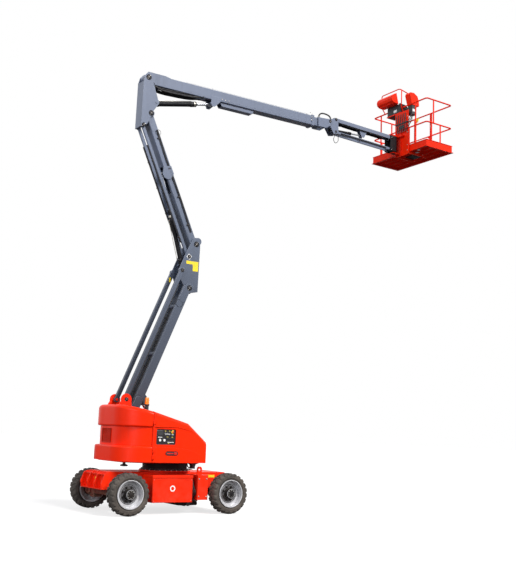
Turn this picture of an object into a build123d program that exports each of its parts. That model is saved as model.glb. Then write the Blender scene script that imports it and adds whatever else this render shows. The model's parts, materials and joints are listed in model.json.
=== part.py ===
"""Articulating boom lift: a four-wheeled chassis, a slewing turret with a two-stage riser,
a telescoping main boom, a parallelogram jib and a rotating work platform.

Millimetres. +X points to the platform, +Z is up, Y is across. The origin lies on the ground
under the middle of the wheelbase. The arm stands in its raised working pose."""
from build123d import *
from math import cos, hypot, radians, sin
import os

# ---------------------------------------------------------------- driving sizes
# Wheels
wheelbase = 1955.0
track = 1540.0
tyre_radius = 355.0
tyre_width = 238.0
tyre_shoulder = 34.0
lug_depth = 18.0
lug_width = 56.0
lug_slant = 20.0
lug_count = 14
rim_radius = 245.0
rim_barrel = 208.0
rim_wall = 9.0
disc_offset = 22.0
disc_thickness = 16.0
hub_radius = 78.0
hub_length = 96.0
stud_circle = 118.0
stud_count = 8
stud_radius = 11.0
spindle_radius = 40.0

# Axles and steering
kingpin_y = 600.0
kingpin_radius = 20.0
axle_width = 150.0
axle_bottom = 290.0
yoke_reach = 46.0
ear_thickness = 25.0
steer_arm = 160.0
tie_rod_radius = 18.0
beam_end = kingpin_y - 117.0
hub_motor_radius = 120.0

# Chassis
frame_top = 700.0
frame_half = 360.0
cover_half = 870.0
frame_wall = 12.0
frame_rear = -1190.0
frame_front = 1150.0
saddle_z = 420.0
belly_z = 300.0
belly_run = 120.0
saddle_half = 200.0
bumper_depth = 70.0
bumper_half = 440.0
box_rear = -500.0
box_front = 280.0
box_outer = 720.0
box_bottom = 205.0
box_top = 665.0
box_lid = 45.0
box_wall = 6.0
plate_rear = 390.0
plate_front = 600.0
ear_width = 20.0
lug_hole = 25.0
lip_thickness = 14.0
tie_down_reach = 62.0
tie_down_y = 300.0

# Slewing ring and turret
slew_x = 100.0
flange_radius = 460.0
flange_thickness = 20.0
drum_radius = 400.0
drum_top = 862.0
deck_thickness = 20.0
deck_half = cover_half - 170.0
ear_inner = 215.0
ear_outer = 240.0
deck_rear = -985.0
deck_front = 390.0

# Turret covers
cover_tail = -1115.0
cover_front = 432.0
cover_bottom = 880.0
cover_radius = 620.0
cover_wall = 8.0
cover_seam = -610.0
seam_gap = 6.0
tail_top = 1858.0
seam_top = 1736.0
brow_x = 72.0
brow_z = 1551.0
nose_top = 1250.0
waist_bottom = 1140.0
waist_top = 1470.0
waist_inset = 85.0
waist_side = 20.0
upper_inset = 40.0
cover_rounding = 60.0
bulge_rounding = 26.0
hinge_radius = 9.0
channel_half = 335.0
panel_rear = -543.0
panel_front = -172.0
panel_bottom = 1180.0
panel_top = 1440.0
control_depth = 130.0

# Pins, fits and clearances
riser_pin = 35.0
link_pin = 25.0
jib_pin = 22.0
fit = 0.5
gap = 6.0

# Hinge barrels of the hoods on the seam: bottom and top of each
hinge_spans = ((930.0, 1000.0), (1040.0, 1110.0), (1510.0, 1580.0))

# Risers: foot pin, length and angle of each stage, and where its twin links stand
foot_x = -680.0
foot_z = 1614.0
link_dx = -166.0
link_dz = 317.0
lower_length = 2620.0
lower_angle = 67.6
knuckle_rise = 604.0
upper_dx = 144.0
upper_dz = 256.0
upper_length = 2573.0
upper_angle = 114.9
arm_inner = 150.0
arm_outer = 205.0
arm_depth = 160.0
arm_shift = 40.0
arm_wall = 7.0
lower_link_depth = 80.0
cheek = 4.0
mid_inner = 125.0
mid_outer = 140.0
top_inner = 108.0
top_outer = 123.0
upper_width = 190.0
upper_depth = 150.0
upper_shift = 30.0
upper_link_inner = 60.0
upper_link_outer = 100.0
upper_link_depth = 60.0
bracket_pad = 10.0

# Main boom, extension and jib
boom_angle = 1.24
boom_drop = 13.0
tilt_reach = 4327.0
tilt_rise = 147.0
boom_width = 200.0
boom_depth = 210.0
boom_wall = 7.0
boom_end = 3902.0
collar_length = 56.0
extension_width = 170.0
extension_depth = 180.0
extension_tail = 2000.0
extension_end = 4102.0
nose_outer = 119.0
fork_inner = 107.0
jib_length = 1620.0
jib_angle = -1.2
jib_height = 270.0
jib_beam_half = 80.0
jib_beam_depth = 80.0
jib_wall = 8.0
jib_link_inner = 50.0
jib_link_outer = 72.0
jib_link_depth = 60.0
jib_plate_inner = 88.0
jib_plate_outer = 100.0
jib_stub = 48.0

# Hydraulic cylinders
barrel_radius = 48.0
rod_radius = 27.0
barrel_wall = 8.0
jib_barrel_radius = 30.0
jib_rod_radius = 17.0
eye_half = 36.0
gland_step = 4.0
bore_start = 12.0
lug_inner = 58.0

# Platform
rotator_reach = 130.0
rotator_radius = 76.0
rotator_to_floor = 175.0
platform_depth = 790.0
platform_half = 876.0
platform_drop = 338.0
toe_height = 165.0
mid_rail = 575.0
top_rail = 1117.0
rail_radius = 16.0
rail_bend = 50.0
sheet = 5.0
flange_reach = 26.0
slot_length = 104.0
slot_pitch = 146.0
gate_near = -250.0
gate_far = 300.0
column_depth = 48.0
column_near = -370.0
column_far = 60.0
tray_height = 965.0
guard_radius = 12.0

# ---------------------------------------------------------------- points of the arm in X and Z
wheel_x = wheelbase / 2
wheel_y = track / 2


def polar(point, length, angle):
    """The point at a length and angle from another, in the XZ plane."""
    return (point[0] + length * cos(radians(angle)), point[1] + length * sin(radians(angle)))


def shift(point, dx, dz):
    """The point moved by dx and dz."""
    return (point[0] + dx, point[1] + dz)


foot = (foot_x, foot_z)
link_foot = shift(foot, link_dx, link_dz)
knee = polar(foot, lower_length, lower_angle)
link_knee = shift(knee, link_dx, link_dz)
upper_link_foot = shift(knee, 0, knuckle_rise)
upper_foot = shift(upper_link_foot, upper_dx, upper_dz)
head = polar(upper_foot, upper_length, upper_angle)
link_head = polar(upper_link_foot, upper_length, upper_angle)
boom_root = shift(head, -91, 680)
luff_base = shift(head, 92, 237)
luff_eye = (boom_root[0] + 1412, boom_root[1] - 155)
tilt_pin = shift(boom_root, tilt_reach, tilt_rise)
jib_root = shift(tilt_pin, 175, 88)
jib_link_root = shift(jib_root, 0, -jib_height)
jib_tip = polar(jib_root, jib_length, jib_angle)
jib_link_tip = shift(jib_tip, 0, -jib_height)
lower_base = (185.0, 980.0)
lower_eye = (-428.0, 1910.0)
upper_base = shift(knee, -83, 461)
upper_eye = shift(upper_foot, -728, 1260)
jib_base = shift(tilt_pin, 85, -137)
jib_eye = shift(jib_root, 810, -160)
rotator_x = jib_tip[0] + rotator_reach
platform_inner = rotator_x + rotator_to_floor
platform_outer = platform_inner + platform_depth
platform_bottom = jib_tip[1] - platform_drop


# ---------------------------------------------------------------- helpers
def block(x0, x1, y0, y1, z0, z1):
    """A block between two opposite corners."""
    middle = Pos((x0 + x1) / 2, (y0 + y1) / 2, (z0 + z1) / 2)
    return middle * Box(x1 - x0, y1 - y0, z1 - z0)


def plate_y(points, y0, y1):
    """A plate whose outline is given in X and Z, thick from y0 to y1."""
    outline = Plane.XZ.offset(-y0) * Polygon(*points, align=None)
    return extrude(outline, amount=y1 - y0, dir=(0, 1, 0))


def plate_x(points, x0, x1):
    """A plate whose outline is given in Y and Z, thick from x0 to x1."""
    outline = Plane.YZ.offset(x0) * Polygon(*points, align=None)
    return extrude(outline, amount=x1 - x0, dir=(1, 0, 0))


def plate_z(points, z0, z1):
    """A plate whose outline is given in X and Y, thick from z0 to z1."""
    outline = Plane.XY.offset(z0) * Polygon(*points, align=None)
    return extrude(outline, amount=z1 - z0, dir=(0, 0, 1))


def pin_y(point, radius, y0, y1):
    """A round bar along Y through a point given in X and Z."""
    middle = Pos(point[0], (y0 + y1) / 2, point[1])
    return middle * Rot(90, 0, 0) * Cylinder(radius, y1 - y0)


def post(x, y, radius, z0, z1):
    """An upright round bar."""
    return Pos(x, y, (z0 + z1) / 2) * Cylinder(radius, z1 - z0)


def bar(start, end, radius):
    """A round bar between two points in space."""
    line = Vector(end) - Vector(start)
    low = (Align.CENTER, Align.CENTER, Align.MIN)
    return Plane(origin=start, z_dir=line) * Cylinder(radius, line.length, align=low)


def both(shape):
    """A shape with its mirror image across the middle of the machine."""
    return shape + mirror(shape, Plane.XZ)


def along(start, end):
    """A function that turns a place along and to the left of a line into X and Z."""
    length = hypot(end[0] - start[0], end[1] - start[1])
    c = (end[0] - start[0]) / length
    s = (end[1] - start[1]) / length
    return lambda u, v: (start[0] + u * c - v * s, start[1] + u * s + v * c)


def box_tube(at, u0, u1, v_mid, y_mid, width, depth, wall, radius):
    """A hollow bar with a rounded box section that follows a line made by along()."""
    x, z = at(u0, v_mid)
    x1, z1 = at(u0 + 1, v_mid)
    section = RectangleRounded(width, depth, radius)
    section -= RectangleRounded(width - 2 * wall, depth - 2 * wall, max(radius - wall, 1.5))
    plane = Plane(origin=(x, y_mid, z), x_dir=(0, 1, 0), z_dir=(x1 - x, 0, z1 - z))
    return extrude(plane * section, amount=u1 - u0, dir=plane.z_dir)


def slab(at, u0, u1, v0, v1, y0, y1):
    """A straight-sided plate that follows a line made by along()."""
    return plate_y([at(u0, v0), at(u1, v0), at(u1, v1), at(u0, v1)], y0, y1)


def cylinder_pair(base, eye, radius, rod, base_pin, barrel_length, rod_length):
    """A hydraulic barrel on its base pin, and its rod with a plain eye."""
    length = hypot(eye[0] - base[0], eye[1] - base[1])
    at = along(base, eye)
    low = (Align.CENTER, Align.CENTER, Align.MIN)

    def run(u0, u1, r):
        x, z = at(u0, 0)
        line = (eye[0] - base[0], 0, eye[1] - base[1])
        return Plane(origin=(x, 0, z), x_dir=(0, 1, 0), z_dir=line) * Cylinder(r, u1 - u0, align=low)

    barrel = run(radius * 0.6, barrel_length, radius)
    barrel += pin_y(base, max(radius - 4, base_pin + 10), -eye_half, eye_half)
    barrel += run(barrel_length - 70, barrel_length, radius + gland_step)
    barrel -= run(radius + bore_start, barrel_length - 60, radius - barrel_wall)
    barrel -= run(barrel_length - 61, barrel_length + 1, rod + fit)
    barrel -= pin_y(base, base_pin + fit, -radius - eye_half, radius + eye_half)
    piston = run(length - rod_length, length - radius * 0.5, rod)
    piston += pin_y(eye, radius * 0.8, -eye_half, eye_half)
    return barrel, piston


# ---------------------------------------------------------------- wheels
def tyre_ring(radius, y, outside):
    """A many-sided section of the tyre; outside says whether its corners or its flats lie on the radius."""
    plane = Plane(origin=(0, y, 0), x_dir=(1, 0, 0), z_dir=(0, 1, 0))
    return plane * RegularPolygon(radius, 2 * lug_count, major_radius=outside, rotation=90 / lug_count)


def tyre():
    """A lugged tyre about the Y axis, with its outer side toward -Y, its carcass in flats to keep it light."""
    half = tyre_width / 2
    base = tyre_radius - lug_depth
    crown = half - tyre_shoulder
    wall = base - tyre_shoulder
    outer = [(wall, -half), (base, -crown), (base, crown), (wall, half)]
    hole = [(wall - 4, -half - 1), (rim_radius + 20, -half + 6), (rim_radius - 5, -half + 30),
            (rim_radius - 5, half - 30), (rim_radius + 20, half - 6), (wall - 4, half + 1)]
    body = loft([tyre_ring(radius, y, True) for radius, y in outer], ruled=True)
    body -= loft([tyre_ring(radius, y, False) for radius, y in hole], ruled=True)
    long = tyre_width * 0.44
    reach = long / 2 * sin(radians(lug_slant)) + lug_width / 2 * cos(radians(lug_slant))
    crest = (tyre_radius ** 2 - reach ** 2) ** 0.5
    lug = Box(2 * lug_depth, long, lug_width)
    lugs = []
    for index in range(lug_count):
        for side in (-1, 1):
            turn = 360 / lug_count * (index + (side + 1) / 4)
            place = Rot(0, turn, 0) * Pos(crest - lug_depth, side * (half - 10 - long / 2), 0)
            lugs.append(place * Rot(side * lug_slant, 0, 0) * lug)
    return body + lugs


def rim():
    """A dished rim with its planetary hub, about the Y axis, outer side toward -Y."""
    half = tyre_width / 2
    seat = rim_radius - 8
    barrel = Polyline(
        (seat, -half + 30),
        (rim_radius - 7, -half + 4),
        (rim_radius - 20, -half + 4),
        (rim_barrel + 6, -half + 52),
        (rim_barrel, -disc_offset),
        (rim_barrel, half - 40),
        (rim_radius - 20, half - 4),
        (rim_radius - 7, half - 4),
        (seat, half - 30),
        (rim_barrel + rim_wall + 4, half - 60),
        (rim_barrel + rim_wall + 4, -half + 60),
        close=True,
    )
    body = revolve(Plane.XY * make_face(barrel), Axis.Y)
    face = -disc_offset
    body += Pos(0, face + disc_thickness / 2, 0) * Rot(90, 0, 0) * Cylinder(rim_barrel + 4, disc_thickness)
    body += Pos(0, face - hub_length / 2, 0) * Rot(90, 0, 0) * Cylinder(hub_radius, hub_length)
    studs = []
    for index in range(stud_count):
        place = Rot(0, 360 / stud_count * (index + 0.5), 0) * Pos(stud_circle, face - 9, 0)
        studs.append(place * Rot(90, 0, 0) * Cylinder(stud_radius, 20))
    body += studs
    bore = Pos(0, face + disc_thickness / 2, 0) * Rot(90, 0, 0) * Cylinder(spindle_radius + fit, disc_thickness + 2)
    return body - bore


def wheel_place(x, side):
    """Puts a wheel part at its axle end: side -1 is toward -Y."""
    turn = Rot(0, 0, 0) if side < 0 else Rot(0, 0, 180)
    return Pos(x, side * wheel_y, tyre_radius) * turn


# ---------------------------------------------------------------- axles
def spindle(side):
    """The stub that carries a wheel: hub motor, neck and spindle, from |Y| 640 outward."""
    z = tyre_radius
    disc_inner = wheel_y + disc_offset - disc_thickness
    motor = pin_y((0, z), hub_motor_radius, disc_inner - 96, disc_inner - gap)
    motor += pin_y((0, z), spindle_radius, disc_inner - 20, disc_inner + disc_thickness - 1)
    return motor if side > 0 else mirror(motor, Plane.XZ)


def steer_axle():
    """The steering axle beam with a forked end for each kingpin."""
    x = -wheel_x
    half = axle_width / 2
    inner = beam_end
    beam = block(x - half, x + half, -inner, inner, axle_bottom, saddle_z)
    beam -= block(x - half + 12, x + half - 12, -inner - 1, inner + 1, axle_bottom + 12, saddle_z - 12)
    ears = []
    for z0 in (tyre_radius - 105 - ear_thickness, tyre_radius + 105):
        ear = plate_z([(x - half, inner - 60), (x + half, inner - 60), (x + 52, kingpin_y + yoke_reach),
                       (x - 52, kingpin_y + yoke_reach)], z0, z0 + ear_thickness)
        ears.append(ear)
    web = block(x - half, x + half, inner - 60, inner - 20, tyre_radius - 106, tyre_radius + 106)
    fork = ears[0] + ears[1] + web
    fork += post(x, kingpin_y, kingpin_radius + 14, tyre_radius - 150, tyre_radius - 104)
    fork += post(x, kingpin_y, kingpin_radius + 14, tyre_radius + 104, tyre_radius + 150)
    fork += post(x, kingpin_y, kingpin_radius, tyre_radius - 140, tyre_radius + 140)
    return beam + both(fork)


def knuckle(side):
    """A steering knuckle that turns on its kingpin and carries the spindle and steering arm."""
    x = -wheel_x
    z = tyre_radius
    body = post(x, kingpin_y, 46, z - 104 + gap / 2, z + 104 - gap / 2)
    disc_inner = wheel_y + disc_offset - disc_thickness
    body += block(x - 70, x + 70, kingpin_y + 8, disc_inner - 90, z - 70, z + 70)
    body -= post(x, kingpin_y, kingpin_radius + fit, z - 200, z + 200)
    arm = plate_z([(x + 20, kingpin_y - 34), (x + steer_arm + 24, kingpin_y - 70),
                   (x + steer_arm + 24, kingpin_y - 30), (x + 20, kingpin_y + 34)], z - 60, z - 40)
    body += arm + Pos(x, 0, 0) * spindle(1)
    return body if side > 0 else mirror(body, Plane.XZ)


def tie_rod():
    """The bar that joins the two steering arms, with a ball end over each."""
    x = -wheel_x + steer_arm
    z = tyre_radius - 40 + gap + tie_rod_radius
    end = kingpin_y - 50
    rod = bar((x, -end, z), (x, end, z), tie_rod_radius)
    ends = both(Pos(x, end, z) * Sphere(tie_rod_radius + 8))
    return rod + (ends & block(x - 60, x + 60, -end - 60, end + 60, z - tie_rod_radius, z + 60))


def drive_axle():
    """The fixed drive axle beam with its hub motors."""
    half = axle_width / 2
    inner = wheel_y + disc_offset - disc_thickness - 96
    beam = block(wheel_x - half, wheel_x + half, -inner, inner, axle_bottom, saddle_z)
    beam -= block(wheel_x - half + 12, wheel_x + half - 12, -inner + 14, inner - 14, axle_bottom + 12, saddle_z - 12)
    flange = block(wheel_x - 130, wheel_x + 130, inner - 20, inner, tyre_radius - 110, tyre_radius + 110)
    return beam + both(flange + Pos(wheel_x, 0, 0) * spindle(1))


# ---------------------------------------------------------------- chassis
def girder_outline(inset):
    """Side outline of the main girder, drawn in by a wall thickness."""
    top = frame_top - inset
    saddle = saddle_z + inset
    belly = belly_z + inset
    rear = frame_rear + inset
    front = frame_front - inset
    outer_x = wheel_x - saddle_half - inset
    inner_x = outer_x - belly_run
    return [(rear, saddle), (rear, top), (front, top), (front, saddle), (outer_x, saddle),
            (inner_x, belly), (-inner_x, belly), (-outer_x, saddle)]


def end_bumper(x, way):
    """The welded end of the frame: sloping cheeks, a back plate, and a lower lip with tie-down holes."""
    tip = x + way * bumper_depth
    z0 = saddle_z
    cheek_plate = plate_y([(x, z0), (x, frame_top - 10), (tip, frame_top - 40), (tip + way * 60, z0 + 90),
                           (tip + way * 40, z0)], bumper_half - ear_width, bumper_half)
    inner_plate = plate_y([(x, z0), (x, frame_top - 10), (tip, frame_top - 40), (tip + way * 60, z0 + 90),
                           (tip + way * 40, z0)], 140, 140 + ear_width)
    x0, x1 = sorted((x, x + way * 16))
    back = block(x0, x1, -bumper_half + 1, bumper_half - 1, z0, frame_top - 12)
    lip0, lip1 = sorted((x, tip + way * 48))
    lip = block(lip0, lip1, -bumper_half, bumper_half, z0 - lip_thickness, z0)
    lip -= both(post(x + way * tie_down_reach, tie_down_y, lug_hole, z0 - lip_thickness - 1, z0 + 1))
    brow0, brow1 = sorted((x, tip))
    brow = block(brow0, brow1, -bumper_half, bumper_half, frame_top - 54, frame_top - 40)
    return both(cheek_plate + inner_plate) + back + lip + brow


def chassis_frame():
    """Hollow main girder with both ends, the bolted ring flange, side plates and lugs."""
    frame = plate_y(girder_outline(0), -frame_half, frame_half)
    frame -= plate_y(girder_outline(frame_wall), -frame_half + frame_wall, frame_half - frame_wall)
    frame += post(slew_x, 0, flange_radius, frame_top, frame_top + flange_thickness)
    frame += end_bumper(frame_rear, -1) + end_bumper(frame_front, 1)
    plates = block(plate_rear, plate_front, frame_half, box_outer - 20, 652, 668)
    plates += block(plate_rear, plate_front, box_outer - 34, box_outer - 14, 240, 668)
    plates += block(plate_rear, plate_rear + 16, frame_half, box_outer - 20, 240, 660)
    lug = plate_y([(382, 660), (382, 776), (402, 812), (462, 812), (482, 776), (482, 660)], box_outer - 60,
                  box_outer - 60 + ear_width)
    lug -= pin_y((430, 752), lug_hole, box_outer - 62, box_outer - 38)
    return frame + both(plates + lug)


def belly_pan():
    """The black valve and motor pan that hangs under the middle of the girder."""
    body = block(70, 490, -frame_half + 20, frame_half - 20, 150, belly_z)
    pan = block(80, 480, -560, 560, 140, box_bottom - 2)
    return body + fillet(pan.edges().filter_by(Axis.Y), 28)


def side_boxes():
    """The long boxes slung on both sides of the girder, each with a lid."""
    box = block(box_rear, box_front, frame_half, box_outer, box_bottom, box_top - box_lid - 6)
    box -= block(box_rear + box_wall, box_front - box_wall, frame_half + box_wall, box_outer - box_wall,
                 box_bottom + box_wall, box_top - box_lid)
    lid = block(box_rear - 4, box_front + 4, frame_half, box_outer + 4, box_top - box_lid, box_top)
    lid += block(box_rear + 8, box_front - 8, frame_half + 8, box_outer - 8, box_top - box_lid - 8, box_top - 20)
    return both(box + lid)


# ---------------------------------------------------------------- turret
def slew_ring():
    """The black drum of the slewing bearing with its pinion housing."""
    drum = post(slew_x, 0, drum_radius, frame_top + flange_thickness, drum_top)
    drum -= post(slew_x, 0, drum_radius - 60, frame_top + flange_thickness - 1, drum_top + 1)
    return drum


def wall_outline():
    """Side outline of a channel wall of the turret with its rounded ear for the link pin."""
    z0 = drum_top + deck_thickness
    return [(deck_rear, z0), (deck_front, z0), (deck_front, nose_top - 45), (brow_x - 8, brow_z - 14),
            (-600, seam_top - 20), (-742, 1790), (-752, 1905), (-940, 1905), (deck_rear, 1830)]


def turret_frame():
    """Deck, two channel walls that hold the arm's foot pins, and the cylinder's clevis."""
    z0 = drum_top
    deck = plate_z([(deck_rear, -480), (-720, -deck_half), (deck_front, -deck_half), (deck_front, deck_half),
                    (-720, deck_half), (deck_rear, 480)], z0, z0 + deck_thickness)
    wall = plate_y(wall_outline(), ear_inner, ear_outer)
    wall += pin_y(link_foot, 98, ear_inner, ear_outer)
    wall += pin_y(foot, riser_pin, arm_inner - 8, ear_outer + 10)
    wall += pin_y(link_foot, link_pin, arm_inner - 8, ear_outer + 10)
    shelf = plate_y([(-600, seam_top - 28), (-600, seam_top - 20), (brow_x - 8, brow_z - 14),
                     (deck_front, nose_top - 45), (deck_front, nose_top - 53), (brow_x - 8, brow_z - 22)],
                    ear_outer, channel_half - gap)
    back = block(deck_rear, deck_rear + 20, -ear_inner, ear_inner, z0 + deck_thickness, waist_top)
    clevis = plate_y([(lower_base[0] - 75, z0 + deck_thickness), (lower_base[0] + 75, z0 + deck_thickness),
                      (lower_base[0] + 42, lower_base[1] + 42), (lower_base[0] - 42, lower_base[1] + 42)],
                     lug_inner, lug_inner + 20)
    base = pin_y(lower_base, link_pin, -lug_inner - 26, lug_inner + 26)
    return deck + both(wall + shelf + clevis) + back + base


def plan(tail, side, z0, z1, inset=0.0):
    """A layer of the tail's rounded plan, drawn in at the tail and the side."""
    x0 = cover_tail + tail + inset
    half = cover_half - side - inset
    length = 2600.0
    shape = RectangleRounded(length, 2 * half, cover_radius - inset)
    return extrude(Pos(x0 + length / 2, 0, z0) * shape, amount=z1 - z0)


def top_cut(drop):
    """Everything below the sloping top of the tail, lowered by a wall thickness."""
    return plate_y([(cover_tail - 50, cover_bottom - 60), (cover_tail - 50, tail_top + 18 - drop),
                    (cover_seam, seam_top - drop), (cover_seam, cover_bottom - 60)], -950, 950)


def rounded(body, test, radius):
    """Rounds the edges of a body whose middle passes a test."""
    return fillet([edge for edge in body.edges() if test(edge.center())], radius)


def cover_body(inset):
    """The tail's outer form, or its inside when inset is the wall: lower bulge, waist, upper bulge."""
    low = cover_bottom if inset == 0 else cover_bottom - 5
    shelf = waist_bottom - inset
    brow = waist_top + inset
    lower = plan(0, 0, low, shelf, inset) & top_cut(0)
    lower = rounded(lower, lambda at: abs(at.Z - shelf) < 1 and at.X < cover_seam - 1, bulge_rounding - inset)
    waist = plan(waist_inset, waist_side, shelf, brow, inset) & top_cut(0)
    upper = plan(upper_inset, 0, brow, tail_top + 100, inset) & top_cut(inset)
    upper = rounded(upper, lambda at: at.Z > seam_top - 20 and at.X < cover_seam - 1, cover_rounding - inset)
    upper = rounded(upper, lambda at: abs(at.Z - brow) < 1 and at.X < cover_seam - 1, bulge_rounding - inset)
    return lower + waist + upper


def weight_blocks():
    """The cast counterweight that fills the tail up to the waist of its cover."""
    z0 = drum_top + deck_thickness
    inset = cover_wall + gap
    body = plan(0, 0, z0, waist_bottom - inset - 10, inset)
    body += plan(waist_inset, waist_side, waist_bottom - inset - 10, waist_top - 20, inset)
    body &= block(cover_tail, cover_seam - 60, -cover_half, cover_half, z0, waist_top)
    return body - block(deck_rear - 2, 0, -ear_outer - 2, ear_outer + 2, z0 - 1, waist_top + 1)


def tail_cover():
    """The tail shell, open over the arm's channel."""
    shell = cover_body(0) - cover_body(cover_wall)
    shell &= block(cover_tail - 10, cover_seam - seam_gap / 2, -950, 950, cover_bottom, 2000)
    shell -= block(deck_rear - gap, 0, -ear_outer - gap - 4, ear_outer + gap + 4, cover_bottom - 1, 2001)
    room = hinge_radius + gap
    for z0, z1 in hinge_spans:
        shell -= both(post(cover_seam, cover_half, room, z0 - gap, z1 + gap))
    return shell


def round_top(body, y, radius):
    """Rounds the sloping top edges of a hood's side at a given Y."""
    edges = [edge for edge in body.edges() if abs(edge.center().Y - y) < 1]
    return fillet([edge for edge in edges if edge.center().Z > nose_top + 20], radius)


def hood(side):
    """A side hood, hinged at its rear upright edge, with its window for the ground controls."""
    outer = plate_y([(cover_seam, cover_bottom), (cover_seam, seam_top), (brow_x, brow_z), (cover_front, nose_top),
                     (cover_front, cover_bottom)], channel_half, cover_half)
    inner = plate_y([(cover_seam - 1, cover_bottom - 1), (cover_seam - 1, seam_top - cover_wall),
                     (brow_x, brow_z - cover_wall), (cover_front - cover_wall, nose_top - cover_wall),
                     (cover_front - cover_wall, cover_bottom - 1)], channel_half - 1, cover_half - waist_side - cover_wall)
    shell = round_top(outer, cover_half, cover_rounding) - round_top(inner, cover_half - waist_side - cover_wall,
                                                                   cover_rounding - cover_wall)
    flank = plate_y([(cover_seam, waist_bottom), (-220, waist_bottom - 6), (77, 1105), (343, 1015), (264, 1359),
                     (99, 1423), (-142, 1476), (cover_seam, waist_top)], cover_half - 40, cover_half + 10)
    wedge = plate_z([(cover_seam - 1, cover_half - waist_side), (343, cover_half), (343, cover_half + 20),
                     (cover_seam - 1, cover_half + 20)], 900, 1600)
    shell -= flank & wedge
    shell &= block(cover_seam + seam_gap / 2, cover_front + 1, channel_half, cover_half + 1, cover_bottom, 2000)
    latch = Pos(-245, cover_half - 10, 1035) * Rot(90, 0, 0) * extrude(SlotOverall(250, 76), amount=24, both=True)
    if side < 0:
        window = block(panel_rear, panel_front, cover_half - 60, cover_half + 1, panel_bottom, panel_top)
        shell -= fillet(window.edges().filter_by(Axis.Y), 24)
    shell -= latch & block(-500, 0, cover_half - 14, cover_half + 30, 950, 1100)
    for z0, z1 in hinge_spans:
        shell += block(cover_seam, cover_seam + 34, cover_half - 10, cover_half + 4, z0 + 8, z1 - 8)
        shell += post(cover_seam, cover_half, hinge_radius, z0, z1)
    return shell if side > 0 else mirror(shell, Plane.XZ)


def ground_controls():
    """The black ground control box behind its window, with a stop button and switches."""
    inner = cover_half - waist_side - cover_wall - gap
    box = block(panel_rear - 8, panel_front + 8, -inner, -inner + control_depth, panel_bottom - 10, panel_top + 10)
    knobs = [(-215, 1395, 20, 16), (-300, 1395, 10, 14), (-240, 1280, 9, 18), (-330, 1300, 9, 18), (-420, 1300, 9, 18)]
    for x, z, radius, length in knobs:
        box += pin_y((x, z), radius, -inner - length + 6, -inner + 2)
    foot_plate = block(panel_rear + 60, panel_front - 60, -deck_half + 10, -deck_half + 22, drum_top + deck_thickness,
                       panel_bottom - 10)
    arm = block(panel_rear + 60, panel_front - 60, -inner + control_depth - 10, -deck_half + 22, panel_bottom - 10,
                panel_bottom + 2)
    return box + foot_plate + arm


def power_block():
    """Battery pack, tank and motor pump, as one plain block on each side of the deck."""
    z0 = drum_top + deck_thickness
    near = block(-560, 330, -deck_half + 70, -channel_half - 10, z0, z0 + 240)
    far = block(-560, 250, channel_half + 10, deck_half - 10, z0, z0 + 330)
    return near + far


def beacon():
    """The amber beacon on its short post."""
    x, y, z0 = -470.0, -288.0, seam_top - 46
    body = post(x, y, 30, z0, 1860)
    body += post(x, y, 42, 1860, 1900)
    return body + post(x, y, 40, 1900, 1985)


# ---------------------------------------------------------------- risers
def lower_riser():
    """The two arms of the lower riser with their cross tubes and the cylinder's lug."""
    at = along(foot, knee)
    middle = (arm_inner + arm_outer) / 2
    width = arm_outer - arm_inner
    end = arm_depth / 2 + 10
    arm = box_tube(at, 0, lower_length, arm_shift, middle, width, arm_depth, arm_wall, 10)
    for pin in (foot, knee):
        arm += pin_y(pin, end, arm_inner, arm_outer)
    for u0, u1 in ((0, 320), (lower_length - 240, lower_length)):
        arm += slab(at, u0, u1, arm_shift - 72, arm_shift + 72, arm_outer, arm_outer + cheek)
        arm += pin_y(at(u1 if u0 == 0 else u0, arm_shift), 72, arm_outer, arm_outer + cheek)
    lug = plate_y([at(250, -20), at(490, -20), at(420, -168), at(330, -168)], arm_inner, arm_inner + 20)
    lug += pin_y(lower_eye, 46, lug_inner, arm_inner)
    arm += lug
    for pin in (foot, knee):
        arm -= pin_y(pin, riser_pin + fit, arm_inner - 1, arm_outer + cheek + 1)
    cross = pin_y(at(1250, arm_shift), 42, -arm_inner, arm_inner)
    cross += pin_y(at(2230, arm_shift), 42, -arm_inner, arm_inner)
    return both(arm) + cross


def link_pair(start, end, inner, outer, depth, pin, boss):
    """A pair of parallel tie bars with a bored boss at each end."""
    at = along(start, end)
    length = hypot(end[0] - start[0], end[1] - start[1])
    link = box_tube(at, 0, length, 0, (inner + outer) / 2, outer - inner, depth, 5, 8)
    for point in (start, end):
        link += pin_y(point, boss, inner, outer)
    for point in (start, end):
        link -= pin_y(point, pin + fit, inner - 1, outer + 1)
    return both(link)


def mid_knuckle():
    """The knuckle between the risers: two plates, a rear web and all four pins."""
    x, z = knee
    outline = [(182, 987), (218, 978), (226, 820), (213, -46), (70, -78), (-59, 12), (-149, 141), (-205, 290),
               (-195, 358), (-83, 640), (75, 975)]
    plate = plate_y([(x + dx, z + dz) for dx, dz in outline], mid_inner, mid_outer)
    plate += pin_y((x + 182, z + 919), 68, mid_inner, mid_outer)
    plate += pin_y(knee, 62, mid_inner, mid_outer)
    plate += pin_y(link_knee, 52, mid_inner, mid_outer)
    plate += pin_y(knee, riser_pin, mid_inner, arm_outer + 10)
    plate += pin_y(link_knee, link_pin, mid_inner, arm_outer + 10)
    web = plate_y([(x + 198, z - 30), (x + 210, z - 30), (x + 221, z + 700), (x + 209, z + 700)], -mid_inner, mid_inner)
    pins = pin_y(upper_link_foot, link_pin, -mid_outer, mid_outer)
    pins += pin_y(upper_foot, riser_pin, -mid_outer, mid_outer)
    pins += pin_y(upper_base, link_pin, -mid_outer, mid_outer)
    return both(plate) + web + pins


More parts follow.
